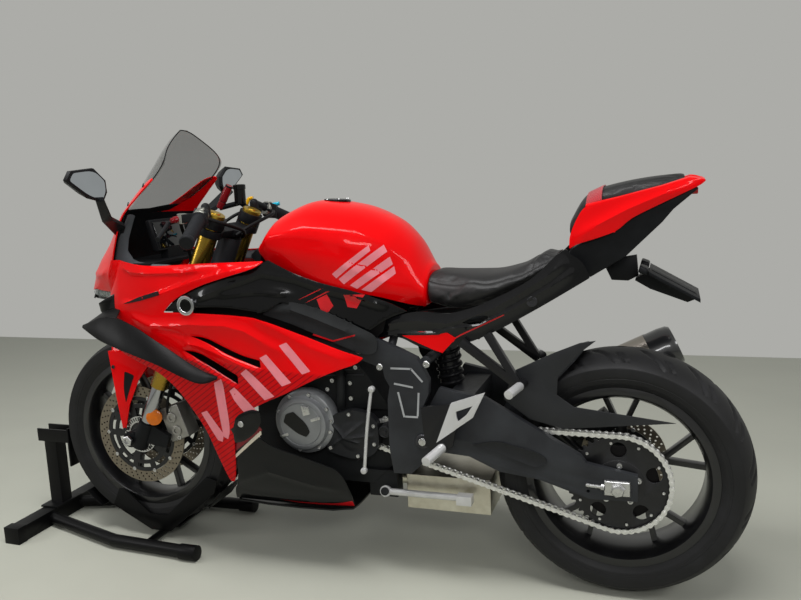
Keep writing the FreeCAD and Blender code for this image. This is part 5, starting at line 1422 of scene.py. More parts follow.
def cover_form(x, z):
    y = 139 + pressed(x, z, cover_fold, 7, 22, 26) + pressed(x, z, band_fold, 5, 8, 18)
    y = y - 0.0005 * np.clip(240 - x, 0, 200) ** 2 - 10 * np.clip((x - 560) / 80, 0, 1)
    return x, y, z


cover_grey = plain("cover_grey", colour(14, 14, 16), 0.24, 0.12, 16, 0.03, 500, Coat_Weight=0.5,
    Coat_Roughness=0.06)
silver_film = plain("silver_film", colour(176, 178, 182), 0.35, 0.06, 30, Metallic=0.5)
for side, hand in ((1, "left"), (-1, "right")):
    cover = skin("side_cover_" + hand, soft_loop(cover_outline, 5), cover_form, cover_grey, "chassis", side,
                 [soft_loop(cover_window, 3)], [cover_fold[1:-1], band_fold[1:-1]], 7.0, 4.0, 1.4)
    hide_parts("seat_panels")
    for name, outline, finish in (("cover_line_red",
            [(441, 645), (377, 684), (300, 721), (265, 737), (265, 734), (300, 717), (377, 680),
            (439, 642)], film_red),):
        film(name + "_" + hand, outline, cover_form, finish, "chassis", side)
    y = float(cover_form(np.array([198.0]), np.array([768.0]))[1][0])
    turned_piece("seat_lock_" + hand, [(13, -6), (13, 1.5), (12, 2.6), (7.2, 2.8), (6.8, 1.2),
        (1, 1.2)], (198, side * y, 768), (0, side, 0), dark_steel, "chassis", 32)
red_wedge = [(536, 682), (480, 690), (409, 688), (388, 674), (424, 636), (446, 643), (486, 660)]
for side, hand in ((1, "left"), (-1, "right")):
    skin("frame_wedge_" + hand, red_wedge, lambda x, z: (x, 0 * x + 141.5, z), red_paint,
        "chassis", side, step=10, thick=3, edge=1)

# ---- Plate holder ----
# A black arm with a bare plate and a small indicator on each side.

rounded("plate_bracket", tray_plastic, 0.003, 28, 2)
for side, hand in ((1, "left"), (-1, "right")):
    y = side * 62
    block("rear_indicator_" + hand, [(-62, y - 30, 822), (-42, y - 30, 830), (-42, y + 30, 830),
        (-62, y + 30, 822), (-66, y - 28, 838), (-46, y - 28, 846), (-46, y + 28, 846),
        (-66, y + 28, 838)], tray_plastic, "chassis", 5)

# ---- Frame ----
# Cast aluminium side plates under matt dark grey paint, bolted at the pivot, with round
# steel rails to the seat; a plastic cover hides each spar's front end.

cast_grey = Finish("cast_grey", Specular_IOR_Level=0.25)
cast_tone = cast_grey.noise(11, 4.0).step(0.3, 0.7)
cast_grey.link(Base_Color=cast_tone.blend(colour(36, 37, 40), colour(48, 50, 53)),
               Roughness=cast_grey.noise(70, 3.0) * 0.18 + 0.38)
cast_grey.bump(cast_grey.noise(900, 2.0) + cast_grey.noise(120, 2.0) * 0.6, 0.16, 0.0005)
rounded("main_frame", cast_grey, 0.004, 30, 3)

spar_cover = [(888, 742), (868, 757), (840, 768), (812, 775), (778, 768), (722, 750), (640, 710),
    (594, 686), (584, 668), (590, 640), (612, 632), (640, 640), (700, 666), (760, 694), (820, 720)]
spar_fold = [(880, 748), (812, 756), (740, 728), (660, 694), (598, 668)]


def spar_form(x, z):
    y = 170 + 42 * np.clip((x - 560) / 320, 0, 1) + pressed(x, z, spar_fold, 6, 30, 26)
    return x, y, z


spar_plastic = plain("spar_plastic", colour(44, 45, 46), 0.42, 0.1, 16, 0.18, 800)
for side, hand in ((1, "left"), (-1, "right")):
    skin("spar_cover_" + hand, soft_loop(spar_cover, 6), spar_form, spar_plastic, "chassis", side,
        (), [spar_fold[1:-1]], 8.0, 5.0, 2.0)
    for name, line in (("a", [(752, 690), (700, 672), (702, 668), (754, 686)]),
            ("b", [(702, 672), (640, 688), (640, 684), (700, 668)])):
        film("spar_line_%s_%s" % (name, hand), line, spar_form, film_red, "chassis", side)

frame_bolts = []
for side in (1, -1):
    for x, z in ((460, 611), (585, 600), (640, 642)):
        frame_bolts.append((place(x, side * 165.2, z), (0, side, 0), (0, 0, 1)))
repeated("frame_bolts", turned_head(9, 5, 4.5, 18), frame_bolts, bright_steel, "chassis")
for side, hand in ((1, "left"), (-1, "right")):
    turned_piece("pivot_cap_" + hand, [(19, 0), (19, 3), (17.5, 4.5), (12, 4.8), (11, 3), (2, 3)],
                         (478, side * 165, 408), (0, side, 0), dark_steel, "chassis", 36)
    # six strokes printed on the pivot plate make an open outlined wedge
    for k, quad in enumerate(([(556, 600), (500, 600), (500, 595), (556, 595)],
            [(500, 600), (470, 566), (474, 563), (504, 597)],
            [(548, 560), (498, 552), (498, 547), (549, 555)],
            [(536, 536), (522, 470), (527, 469), (541, 535)],
            [(522, 474), (488, 474), (488, 469), (522, 469)],
            [(486, 474), (481, 536), (486, 536), (491, 474)])):
        film("pivot_wedge_%s_%d" % (hand, k + 1), quad, lambda x, z: (x, 0 * x + 165.0, z), silver_film,
            "chassis", side, 0.4)

# ---- Engine ----
# One cast block with bolted covers: a round silver generator cover in front and a dark
# ribbed one over the drive sprocket; the clutch cover is on the right. A coolant hose,
# the head's ribs and its bolts stand above them.

engine_cast = plain("engine_cast", colour(32, 33, 34), 0.5, 0.15, 14, 0.22, 500)
rounded("engine_block", engine_cast, 0.005, 30, 3)
cover_cast = plain("cover_cast", colour(134, 136, 138), 0.34, 0.1, 16, 0.08, 700, Metallic=0.4)
sprocket_cast = plain("sprocket_cast", colour(30, 31, 33), 0.45, 0.12, 16, 0.2, 700,
    Specular_IOR_Level=0.25)
generator = [(88, 0), (88, 34), (86.5, 38.5), (82, 41), (75, 41.5), (73.5, 44), (72.5, 55), (71, 59.5),
    (66, 62), (60, 62.6), (58.5, 61.2), (57, 62.6), (30, 63.4), (2, 63.6)]
stator = turned_piece("generator_cover", generator, (816, 112, 435), (0, 1, 0), cover_cast, "chassis", 72,
    26)
clutch = turned_piece("clutch_cover", [(96, 0), (96, 38), (94, 44), (88, 48), (70, 52), (66, 50),
    (62, 52), (2, 53)], (770, -112, 420), (0, -1, 0), cover_cast, "chassis", 72, 26)
drive_cover = [(748, 450), (716, 464), (684, 476), (650, 472), (628, 466), (612, 452), (604, 436),
    (604, 384), (612, 366), (627, 352), (656, 342), (691, 340), (754, 358)]
drive_ribs = [[(740, 440), (700, 400), (650, 386)], [(744, 372), (700, 400), (640, 448)],
    [(612, 410), (660, 404), (700, 400)]]


def drive_form(x, z):
    y = 150.0 + sum(pressed(x, z, rib, 5, 11, 11, 12) for rib in drive_ribs)
    y = y + 8 * np.clip(1 - np.hypot(x - 676, z - 404) / 40, 0, 1) ** 0.5
    return x, y, z


guard = skin("drive_cover", soft_loop(drive_cover, 10), drive_form, sprocket_cast, "chassis", 1, (),
    drive_ribs, 5.0, 25.0, 3.0)
for piece in (stator, clutch, guard):
    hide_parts("engine_covers")
cover_bolts = [(place(816 + 80 * math.cos(math.radians(a)), 153.0, 435 + 80 * math.sin(math.radians(a))),
    LEFT, UP) for a in (20, 62, 104, 150, 196, 238, 282, 330)]
cover_bolts += [(place(770 + 79 * math.cos(math.radians(a)), -161.0,
    420 + 79 * math.sin(math.radians(a))), RIGHT, UP) for a in range(0, 360, 36)]
cover_bolts += [(place(x, 150.0, z), LEFT, UP) for x,
    z in ((738, 442), (684, 464), (616, 436), (616, 386), (664, 350), (742, 368))]
repeated("cover_bolts", turned_head(5.5, 5.0, 2.6, 14), cover_bolts, bright_steel, "chassis")
turned_piece("pivot_cap", [(17, 0), (17, 44), (15.5, 47), (13, 48), (12, 46.4), (6, 46.4),
    (5, 49), (1, 49)], (584, 112, 424), (0, 1, 0), sprocket_cast, "chassis", 32, 30)
hose_rubber = plain("hose_rubber", colour(34, 35, 36), 0.5, 0.1, 40, 0.15, 700)
round_bar("coolant_hose", [(722, 108, 604), (712, 126, 570), (711, 130, 530), (715, 126, 492),
    (722, 110, 462)], 12, hose_rubber, "chassis", 16)
for k, z in enumerate((606, 592, 578, 564)):
    edge = 648 + (z - 560) * 0.75
    round_bar("head_rib_%d" % (k + 1), [(edge, 111, z), (edge + 60, 113, z - 2),
        (790, 111, z - 6)], 3.2, cast_grey, "chassis", 8)
repeated("head_bolts", turned_head(6.5, 7.0, 3.0, 14),
    [(place(x, 111.5, z), LEFT, UP) for x, z in ((672, 584), (742, 545), (757, 520), (690, 498),
    (690, 540), (770, 584))], bright_steel, "chassis")
badge = [(866, 440), (858, 462), (836, 470), (800, 440), (790, 416), (800, 402), (826, 410)]
skin("generator_badge", soft_loop(badge, 4), lambda x, z: (x, 0 * x + 178.0, z), black_gloss,
    "chassis", 1, step=9, thick=3, edge=1)
for k, bar in enumerate(([(812, 488), (790, 486), (786, 466), (806, 460)],
        [(786, 452), (758, 462), (756, 454), (784, 444)],
        [(856, 410), (876, 402), (874, 394), (854, 402)])):
    skin("generator_notch_%d" % (k + 1), soft_loop(bar, 2), lambda x, z: (x, 0 * x + 177.2, z),
        bright_steel, "chassis", 1, step=9, thick=4, edge=1)

# ---- Exhaust and radiator ----
# Stainless pipes, browned by heat, run under the engine to a welded box and up on the
# right to a titanium silencer with a carbon end. The radiator's core is finned.

heat_steel = Finish("heat_steel", Metallic=1.0)
heat = heat_steel.noise(6, 3.0)
grime = heat_steel.noise(45, 4.0)
heat_steel.link(Base_Color=(heat * 0.7 + grime * 0.35).step(0.3, 0.8).blend(colour(178, 172, 156),
    colour(222, 219, 206)), Roughness=grime * 0.3 + 0.22)
heat_steel.bump(grime, 0.08, 0.0008)
rounded("exhaust_pipes", heat_steel, 0.008, 28, 4)
titanium = Finish("titanium_sleeve", Metallic=1.0)
brush = titanium.noise(3, 2.0)
titanium.link(Base_Color=brush.step(0.3, 0.7).blend(colour(150, 142, 132), colour(178, 172, 164)),
              Roughness=titanium.noise(400, 2.0) * 0.16 + 0.24)
carbon = Finish("carbon_fibre", Coat_Weight=0.9, Coat_Roughness=0.05)
tow = ((carbon.axis("X") * 1400.0 + carbon.axis("Z") * 1400.0).math("SINE")
       * (carbon.axis("X") * 1400.0 - carbon.axis("Z") * 1400.0).math("SINE"))
carbon.link(Base_Color=tow.step(-0.4, 0.4).blend(colour(12, 12, 13), colour(44, 45, 48)),
    Roughness=tow * 0.08 + 0.35)
muffler_foot, muffler_end = Vector((60, -174, 512)), Vector((-130, -202, 600))
muffler_axis = (muffler_end - muffler_foot).normalized()
full = (muffler_end - muffler_foot).length
sleeve = turned_piece("silencer_sleeve", [(24, 0), (44, 4), (54, 16), (57.2, 30), (57.8, 46), (58, 50),
    (56.8, 52), (57.2, 60), (57.6, full - 74), (58, full - 70)], muffler_foot, muffler_axis, titanium,
    "chassis", 64, 28)
cap = turned_piece("silencer_cap", [(58, full - 70), (58, full - 66), (57, full - 62), (57.6, full - 30),
    (55, full - 8), (50, full), (44, full - 1), (42, full - 12), (30, full - 16), (28, full - 40),
    (2, full - 40)], muffler_foot, muffler_axis, carbon, "chassis", 64, 28)
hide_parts("silencer")
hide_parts("silencer")
radiator_core = Finish("radiator_core", Metallic=0.4, Roughness=0.5)
fins = ((radiator_core.axis("Z") * 1600.0).math("SINE") * 0.6
        + (radiator_core.axis("Y") * 420.0).math("SINE") * 0.4)
radiator_core.link(Base_Color=fins.step(-0.6, 0.6).blend(colour(14, 14, 15), colour(52, 53, 56)))
radiator_core.bump(fins, 0.6, 0.001)
dress("radiator", radiator_core)

# ---- Swingarm, axle and shock ----
# A pair of cast arms under satin grey paint, with a pressed channel along the outer
# face, bare axle blocks with their chain adjusters, and a single spring in between.

rounded("swingarm", cast_grey, 0.005, 30, 3)
rounded("rear_axle", bright_steel, 0.001, 30, 2)
channel = [(356, 400), (292, 416), (240, 404), (179, 389), (165, 369), (190, 352), (293, 384)]
for side, hand in ((1, "left"), (-1, "right")):
    skin("arm_channel_" + hand, soft_loop(channel, 8),
        lambda x, z: (x, 143.6 + 2.4 * np.clip(pressed(x, z, channel + channel[:1], 1, 14, 14, 0), 0, 1),
        z), sprocket_cast, "chassis", side, step=6, thick=2, edge=0.6)
    y = side * 142
    block("axle_block_" + hand, [(-30, y, 296), (34, y, 296), (34, y, 336), (-30, y, 336),
        (-27, y + side * 9, 299), (31, y + side * 9, 299), (31, y + side * 9, 333),
        (-27, y + side * 9, 333)], bright_steel, "chassis", 2)
    turned_piece("axle_nut_" + hand, [(19, 0), (19, 5), (16, 7), (16, 12), (14, 15), (10, 16),
        (2, 15)], (0, side * 150, 315), (0, side, 0), bright_steel, "chassis", 6, 20)
    turned_piece("adjuster_" + hand, [(8, -2), (8, 5), (4.6, 6), (4.6, 40), (2, 41)],
        (34, side * 148, 318), (1, 0, 0.06), bright_steel, "chassis", 12, 30)
shock_black = plain("coil_paint", colour(24, 24, 26), 0.3, 0.1, 20, Coat_Weight=0.4)
rounded("rear_shock", shock_black, 0.003, 30, 2)
foot, head = Vector((440, 0, 524)), Vector((452, 0, 636))
lean = (head - foot).normalized()
u = lean.orthogonal().normalized()
v = lean.cross(u)
verts, faces = [], []
turns, per = 5.5, 22
count = int(turns * per)
for i in range(count + 1):
    a = 2 * math.pi * i / per
    middle = foot + lean * ((head - foot).length * i / count)
    outward = u * math.cos(a) + v * math.sin(a)
    for k in range(8):
        b = 2 * math.pi * k / 8
        verts.append(place(*(middle + outward * (31 + 5.5 * math.cos(b)) + lean * 5.5 * math.sin(b))))
for i in range(count):
    for k in range(8):
        m = (k + 1) % 8
        faces.append((i * 8 + k, i * 8 + m, (i + 1) * 8 + m, (i + 1) * 8 + k))
faces += [tuple(range(8)), tuple(reversed(range(count * 8, count * 8 + 8)))]
spring = finished("shock_spring", verts, faces, plain("spring_paint", colour(24, 24, 26), 0.3, 0.08, 30),
    "chassis", 60)
rounded("rear_caliper", sprocket_cast, 0.003, 30, 2)

# ---- Chain and sprocket ----
# A steel roller chain, 15.875 mm pitch: paired plates waisted in the middle, alternately
# inside and outside, on round pins; the sprocket's black ring has bright bolts.

rounded("rear_sprocket", carrier_coat, 0.001, 30, 2)
# a black disc behind the sprocket's holes: painted shade that fills them
turned_piece("sprocket_cushion", [(58, 0), (94, 1), (94, 6), (90, 8), (58, 8)], (0, 96, REAR_Z),
    (0, 1, 0), film_shadow, "rear_wheel", 48, 30)
repeated("sprocket_bolts", turned_head(7.5, 6, 3.6, 16),
    [(polar(0, REAR_Z, 48, 72 * k + 20, 115.2), LEFT, UP) for k in range(5)], bright_steel, "rear_wheel")
repeated("sprocket_ring_bolts", turned_head(4, 3, 2, 10),
    [(polar(0, REAR_Z, 104, 36 * k + 8, 112.2), LEFT, UP) for k in range(10)], bright_steel, "rear_wheel")
drive_x, drive_z, drive_r, ring_r = 590.0, 402.0, 41.0, 121.0
span = math.hypot(drive_x, drive_z - REAR_Z)
lean_angle = math.asin((ring_r - drive_r) / span)
along_angle = math.atan2(drive_z - REAR_Z, drive_x)
top_a, low_a = along_angle + math.pi / 2 - lean_angle, along_angle - math.pi / 2 + lean_angle
run_length = math.sqrt(span ** 2 - (ring_r - drive_r) ** 2)
drive_arc = (top_a - low_a) * drive_r
rear_arc = (2 * math.pi - (top_a - low_a)) * ring_r
whole = 2 * run_length + drive_arc + rear_arc
links = round(whole / 15.875 / 2) * 2


def on_chain(s):
    """The pin place and heading at a distance s round the chain."""
    s %= whole
    if s < run_length:
        t = s / run_length
        a = top_a
        r = ring_r + (drive_r - ring_r) * t
        return (drive_x * t + r * math.cos(a),
            REAR_Z + (drive_z - REAR_Z) * t + r * math.sin(a)), a - math.pi / 2
    s -= run_length
    if s < drive_arc:
        a = top_a - s / drive_r
        return (drive_x + drive_r * math.cos(a), drive_z + drive_r * math.sin(a)), a - math.pi / 2
    s -= drive_arc
    if s < run_length:
        t = 1 - s / run_length
        a = low_a
        r = ring_r + (drive_r - ring_r) * t
        return (drive_x * t + r * math.cos(a),
            REAR_Z + (drive_z - REAR_Z) * t + r * math.sin(a)), a - math.pi / 2
    s -= run_length
    a = low_a - s / ring_r
    return (ring_r * math.cos(a), REAR_Z + ring_r * math.sin(a)), a - math.pi / 2


def link_shape(y_in, y_out, half_high):
    """A pair of waisted plates with a pin through each end; X along, Y across, metres."""
    verts, faces = [], []
    ring = [(-14.4, 0), (-12.6, half_high * 0.75), (-7.9, half_high), (0, half_high * 0.62),
        (7.9, half_high), (12.6, half_high * 0.75), (14.4, 0), (12.6, -half_high * 0.75),
        (7.9, -half_high), (0, -half_high * 0.62), (-7.9, -half_high), (-12.6, -half_high * 0.75)]
    for side in (1, -1):
        start = len(verts)
        for y in (y_in, y_out):
            verts += [(x / 1000, side * y / 1000, z / 1000) for x, z in ring]
        n = len(ring)
        faces += [(start + k, start + (k + 1) % n, start + n + (k + 1) % n, start + n + k)
            for k in range(n)]
        faces += [tuple(start + k for k in reversed(range(n))), tuple(start + n + k for k in range(n))]
    for x, r, reach in ((-7.94, 2.6, y_out + 1.2), (7.94, 2.6, y_out + 1.2), (-7.94, 4.8, y_in),
            (7.94, 4.8, y_in)):
        start = len(verts)
        for y in (-reach, reach):
            verts += [((x + r * math.cos(math.pi * k / 4)) / 1000, y / 1000,
                r * math.sin(math.pi * k / 4) / 1000) for k in range(8)]
        faces += [(start + k, start + (k + 1) % 8, start + 8 + (k + 1) % 8, start + 8 + k)
            for k in range(8)]
        faces += [tuple(start + k for k in reversed(range(8))), tuple(start + 8 + k for k in range(8))]
    return verts, faces


chain_steel = plain("chain_steel", colour(222, 222, 220), 0.3, 0.08, 120, 0.1, 600, Metallic=0.8)
spots = {0: [], 1: []}
for k in range(links):
    (x, z), heading = on_chain((k + 0.5) * whole / links)
    spots[k % 2].append((place(x, 109, z), (-math.sin(heading), 0, math.cos(heading)),
        (math.cos(heading), 0, math.sin(heading))))
for kind, shape, word in ((0, link_shape(6.4, 8.2, 6.6), "inner"),
        (1, link_shape(8.5, 10.3, 6.4), "outer")):
    chain_part = repeated("chain_%s_links" % word, shape, spots[kind], chain_steel, "chassis", 40)
    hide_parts("drive_chain")

# ---- Footrests, gear rod and side stand ----
# Forged silver heel plates and pegs on the frame's pivot plates; the gear lever's thin
# rod runs up beside the engine; the side stand folds back along the left.

rest_silver = plain("rest_silver", colour(206, 206, 206), 0.34, 0.08, 30, 0.05, 500, Metallic=0.45)
hanger_black = Finish("forged_rest", Specular_IOR_Level=0.3)
peg = (hanger_black.axis("Z") - 0.594).step(0.004,
    0.0) * (hanger_black.axis("Y").math("ABSOLUTE") - 0.176).step(0.0, 0.002)
along, up = hanger_black.axis("X") - AXLE_X, hanger_black.axis("Z")
plate = (along + up * 0.391 - 0.5994).step(0.0015, 0.0) * (up - 0.5475).step(0.001, 0.0)
bare = plate * (up + along * 0.731 - 0.7315).step(-0.0015, 0.0) + peg
bare = bare.math("MINIMUM", 1.0)
hanger_black.link(Base_Color=bare.blend(colour(20, 20, 22), colour(206, 206, 206)), Metallic=bare * 0.45,
                  Roughness=hanger_black.noise(30, 3.0) * 0.16 + 0.26)
rounded("footrests", hanger_black, 0.0018, 30, 2)
rounded("side_stand", rest_silver, 0.002, 30, 3)


round_bar("gear_rod", [(610, 172, 536), (622, 171, 470), (632, 170, 400), (641, 168, 322)], 4.5,
    rest_silver, "chassis")
for k, (x, z) in enumerate(((609, 541), (642, 318))):
    turned_piece("gear_joint_%d" % (k + 1), [(3, -8), (8, -6), (9, 0), (8, 6), (4, 8), (1, 8.4)],
        (x, 170, z), (0, 1, 0), rest_silver, "chassis", 20, 40)

# ---- Rear hugger ----
# Satin dark grey moulding close over the tyre, with a sculpted chain guard that ends in
# a long spike over the sprocket.

hugger_satin = plain("hugger_satin", colour(38, 39, 41), 0.38, 0.1, 14, 0.12, 700, Specular_IOR_Level=0.25)
rounded("rear_hugger", hugger_satin, 0.002, 28, 3)

# ---- Fork, yokes, hoses and cables ----
# Upside-down fork: gold anodised tubes held by cast black yokes over hard-chromed
# stanchions, in dark cast bottoms that carry the axle, calipers and mudguard.

gold_tube = plain("gold_anodised", colour(160, 130, 52), 0.26, 0.06, 20, 0.03, 900, Metallic=1.0)
chrome_rod = plain("stanchion_chrome", colour(168, 169, 172), 0.12, 0.03, 20, Metallic=1.0)
cast_black = plain("cast_black", colour(24, 25, 27), 0.42, 0.12, 20, 0.12, 700)
cable_black = plain("cable_black", colour(18, 18, 19), 0.5, 0.1, 60, 0.2, 900)
for node, finish, width in (("fork_tubes", gold_tube, 0.0015), ("fork_stanchions", chrome_rod, 0.0005),
                            ("fork_bottoms", cast_black, 0.003), ("triple_clamps", cast_black, 0.003),
                            ("head_cover", cast_black, 0.006)):
    rounded(node, finish, width, 30, 2)
for node in ("brake_hoses", "control_cables"):
    dress(node, cable_black)

# ---- Bars, grips and levers ----
# Clip-on bars round the fork tubes with flanged, ribbed rubber grips; switch boxes,
# silver lever perches, black levers with anodised adjusters, and on the brake side a
# dark red master cylinder with its glossy black cup.

rounded("handlebars", cast_black, 0.002, 30, 2)
rounded("hand_controls", cast_black, 0.0015, 30, 2)
grip_rubber = plain("grip_rubber", colour(30, 31, 34), 0.6, 0.12, 30, 0.3, 500)
perch_silver = plain("perch_silver", colour(158, 158, 150), 0.36, 0.1, 40, 0.05, 500, Metallic=0.7)
wine_red = plain("anodised_red", colour(122, 14, 22), 0.28, 0.1, 30, Coat_Weight=0.4)
cap_gold = plain("cap_gold", colour(186, 154, 58), 0.3, 0.08, 30, Metallic=0.9)
hook_yellow = plain("anodised_yellow", colour(226, 170, 20), 0.3, 0.08, 30, Coat_Weight=0.4)
fork_up, fork_fore = Vector((-0.4305, 0, 0.9026)), Vector((0.9026, 0, 0.4305))
tip_cyan = plain("anodised_cyan", colour(20, 168, 196), 0.3, 0.08, 30, Coat_Weight=0.4)
for side, hand in ((1, "left"), (-1, "right")):
    inner, outer = Vector((1055, side * 212, 993)), Vector((1016, side * 340, 942))
    run = (outer - inner).normalized()
    long = (outer - inner).length
    ribs = [(20.5, -3), (22.5, -1.5), (22.5, 2), (19, 4), (17.7, 6)]
    for k in range(int((long - 24) / 5)):
        ribs += [(17.8, 8 + 5 * k), (18.3, 9 + 5 * k), (18.3, 11 + 5 * k), (17.8, 12 + 5 * k)]
    ribs += [(17.8, long - 14), (19.8, long - 12), (19.8, long - 4), (17, long - 1), (12, long - 0.5)]
    turned_piece("grip_" + hand, ribs, inner, run, grip_rubber, "front_end", 32, 60)
    box_at = inner - run * 8
    switch = [box_at + Vector(v) for v in ((-22, 0, -28), (14, 0, -26), (14, 0, 18), (-24, 0, 16))]
    back = [p - run * 26 for p in switch]
    block("switch_box_" + hand, [tuple(p) for p in (switch[0], switch[1], back[1], back[0],
                                                    switch[3], switch[2], back[2], back[3])],
          cast_black, "front_end", 6)
    patch = [box_at - run * (8 + 12 * k) + Vector((v, 0, 19.5)) for k in (0, 1) for v in (-12, 8)]
    block("switch_face_" + hand, [tuple(p + Vector((0, 0, h))) for h in (-4, 2)
        for p in (patch[0], patch[1], patch[3], patch[2])], perch_silver, "front_end", 1.5)
    perch = inner - run * 22
    turned_piece("perch_ring_" + hand, [(19.3, -12.4), (20.4, -11), (20.4, 11), (19.3, 12.4)], perch, run,
                 perch_silver, "front_end", 40, 30)
    hinge = perch + Vector((58, 0, -4))
    turned_piece("lever_pivot_" + hand, [(9, -14), (13.5, -12.5), (13.5, 12.5), (9, 14)], hinge, (0, 0, 1),
                 perch_silver if side > 0 else wine_red, "front_end", 24, 30)
    turned_piece("lever_adjuster_" + hand, [(6, -3), (9, -1.5), (9, 12), (7, 14), (7, 20), (5, 22)],
        hinge + Vector((8, side * 8, 0)), (0.55, side, -0.2), wine_red if side > 0 else tip_cyan,
        "front_end", 20, 30)
    turned_piece("fork_cap_" + hand, [(27.2, -14), (27.6, -12), (27.6, 1), (25, 2.5), (14, 2.5),
        (13, 5.5), (4, 5.5)], Vector((FRONT_X, side * 105, FRONT_Z)) - fork_fore * 27 + fork_up * 752,
        fork_up, cap_gold, "front_end", 40, 30)
turned_piece("master_cylinder", [(8, -1), (11.8, 1), (11.8, 22), (10.6, 24), (12.4, 26), (12.4, 66),
    (10, 79)], (1206, -152, 1010), (-40, 2, 68), wine_red, "front_end", 28, 30)
turned_piece("fluid_cup", [(15, -1), (17.8, 1), (17.8, 44), (19.4, 45), (19.4, 58), (16, 60), (4, 60.5)],
             (1140, -165, 1020), (0, 0, 1), black_gloss, "front_end", 40, 30)
round_bar("brake_lever_hook", [(1134, -236, 1034), (1146, -234, 1036), (1152, -230, 1022),
    (1160, -228, 1006)], 6.0, hook_yellow, "front_end")
round_bar("brake_lever_tip", [(1141, -300, 1000), (1120, -318, 1006), (1086, -324, 1012)], 6.8, tip_cyan,
    "front_end")

# ---- Front mudguard ----
# Red moulding over the tyre with a blade down to each fork foot, which has a recess
# drawn as a flat dark film of painted shade, and two screws.

rounded("front_fender", red_paint, 0.0016, 26, 3)
blade_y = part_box("front_fender")[1][1] * 1000
# a flat dark film over the blade: painted shade where the recess is
window = [(1446, 536), (1412, 524), (1434, 478), (1452, 436), (1456, 480)]
for side, hand in ((1, "left"), (-1, "right")):
    film("fender_window_" + hand, soft_loop(window, 6), lambda x, z: (x, 0 * x + blade_y + 0.4, z),
        tray_plastic, "front_end", side)
    repeated("fender_screws_" + hand, turned_head(6.0, 2.5, 2.4, 16),
        [(place(x, side * (blade_y + 0.4), z), (0, side, 0), (0, 0, 1)) for x,
        z in ((1486, 548), (1466, 350))], dark_steel, "front_end")

# ---- Front calipers ----
# Radially mounted four-piston calipers in dark silver: a ribbed body with the piston
# caps proud of it, two mounting bolts and an orange reflector beside each.

caliper_silver = plain("caliper_silver", colour(150, 148, 142), 0.38, 0.1, 30, 0.1, 500, Metallic=0.6)
reflector = plain("orange_reflector", colour(232, 120, 22), 0.2, 0.06, 60, 0.3, 300, Coat_Weight=0.5)
rounded("front_calipers", caliper_silver, 0.004, 30, 3)
caliper_low, caliper_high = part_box("front_calipers")
cal_x = (caliper_low[0] + caliper_high[0]) / 2 * 1000 - AXLE_X * 1000
cal_z = (caliper_low[2] + caliper_high[2]) / 2 * 1000
cal_y = caliper_high[1] * 1000
lean = math.atan2(cal_z - FRONT_Z, FRONT_X - cal_x)
for side, hand in ((1, "left"), (-1, "right")):
    along = Vector((math.sin(lean), 0, math.cos(lean)))
    caps = [(place(cal_x + along.x * d, side * cal_y, cal_z + along.z * d), (0, side, 0), (0, 0, 1))
        for d in (-24, 18)]
    repeated("caliper_caps_" + hand, turned_head(16, 5, 7.5, 28), caps, caliper_silver, "front_end", 30)
    ends = [(place(cal_x + along.x * d, side * (cal_y - 12), cal_z + along.z * d), (0, side, 0), (0, 0, 1))
            for d in (-46, 44)]
    repeated("caliper_bolts_" + hand, turned_head(7.5, 14, 3.5, 20), ends, bright_steel, "front_end", 30)
    turned_piece("reflector_" + hand, [(14, 0), (23, 0), (24, 2), (24, 8), (21, 10), (6, 11)],
        (1328, side * 112, 408), (-0.35, side, 0.1), reflector, "front_end", 32, 30)
    turned_piece("axle_nut_" + hand, [(13, 0), (17, 1), (17, 9), (14, 11), (9, 11), (8, 6), (3, 6)],
        (FRONT_X, side * 132, FRONT_Z), (0, side, 0), bright_steel, "front_end", 6 if side > 0 else 32,
        30)

# ---- Winglets ----
# Satin black blades over the fairing's front: a flat outer face that leans out towards
# its lower edge, a crisp upper edge with a narrow web back to the cowl.

WING = np.array([
    # x, then y and z of the upper edge, then y and z of the lower edge
    (1462, 220, 706, 224, 698), (1421, 231, 718, 246, 687),
    (1379, 239, 732, 264, 674), (1333, 245, 734, 279, 663),
    (1268, 256, 716, 292, 647), (1169, 266, 666, 300, 618),
    (1095, 266, 622, 297, 586), (1041, 260, 592, 281, 566),
    (1013, 252, 580, 257, 573)][::-1], float)
wing_satin = plain("wing_satin", colour(9, 9, 10), 0.42, 0.1, 14, 0.06, 700, Specular_IOR_Level=0.15)
for side, hand in ((1, "left"), (-1, "right")):
    rings = []
    for k in range(61):
        x = 1013 + (1462 - 1013) * k / 60
        y0, z0, y1, z1 = (float(eased(WING[:, 0], WING[:, c], x)[0]) for c in (1, 2, 3, 4))
        top_at, low_at = Vector((x, y0, z0)), Vector((x, y1, z1))
        down = low_at - top_at
        out = Vector((0, -down.z, down.y)).normalized()
        thick = 4.2 * min(1.0, down.length / 26)
        ring = []
        for share, lift in ((0.0, 0.0), (0.02, 0.7), (0.1, 1.0), (0.3, 1.35), (0.5, 1.5), (0.7, 1.35),
                (0.9, 0.9), (0.98, 0.5), (1.0, 0.0), (0.98, -0.5), (0.7, -0.7), (0.3, -0.9),
                (0.05, -0.9)):
            p = top_at + down * share + out * (thick * lift)
            ring.append((p.x, side * p.y, p.z))
        rings.append(ring)
    wing = ringed("winglet_" + hand, rings, wing_satin, "chassis", 24)
    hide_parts("winglets")
    web = ([(1455, 221, 706), (1401, 236, 726), (1362, 241, 734), (1325, 246, 733)],
           [(1455, 215, 708), (1405, 195, 742), (1389, 190, 748), (1340, 195, 760)])
    ruled("winglet_web_" + hand, *[[(x, side * y, z) for x, y, z in line] for line in web],
        wing_satin, "chassis", 4)

# ---- Mirrors ----
# Black pentagonal heads on broad leaning stalks, with the glass facing back.

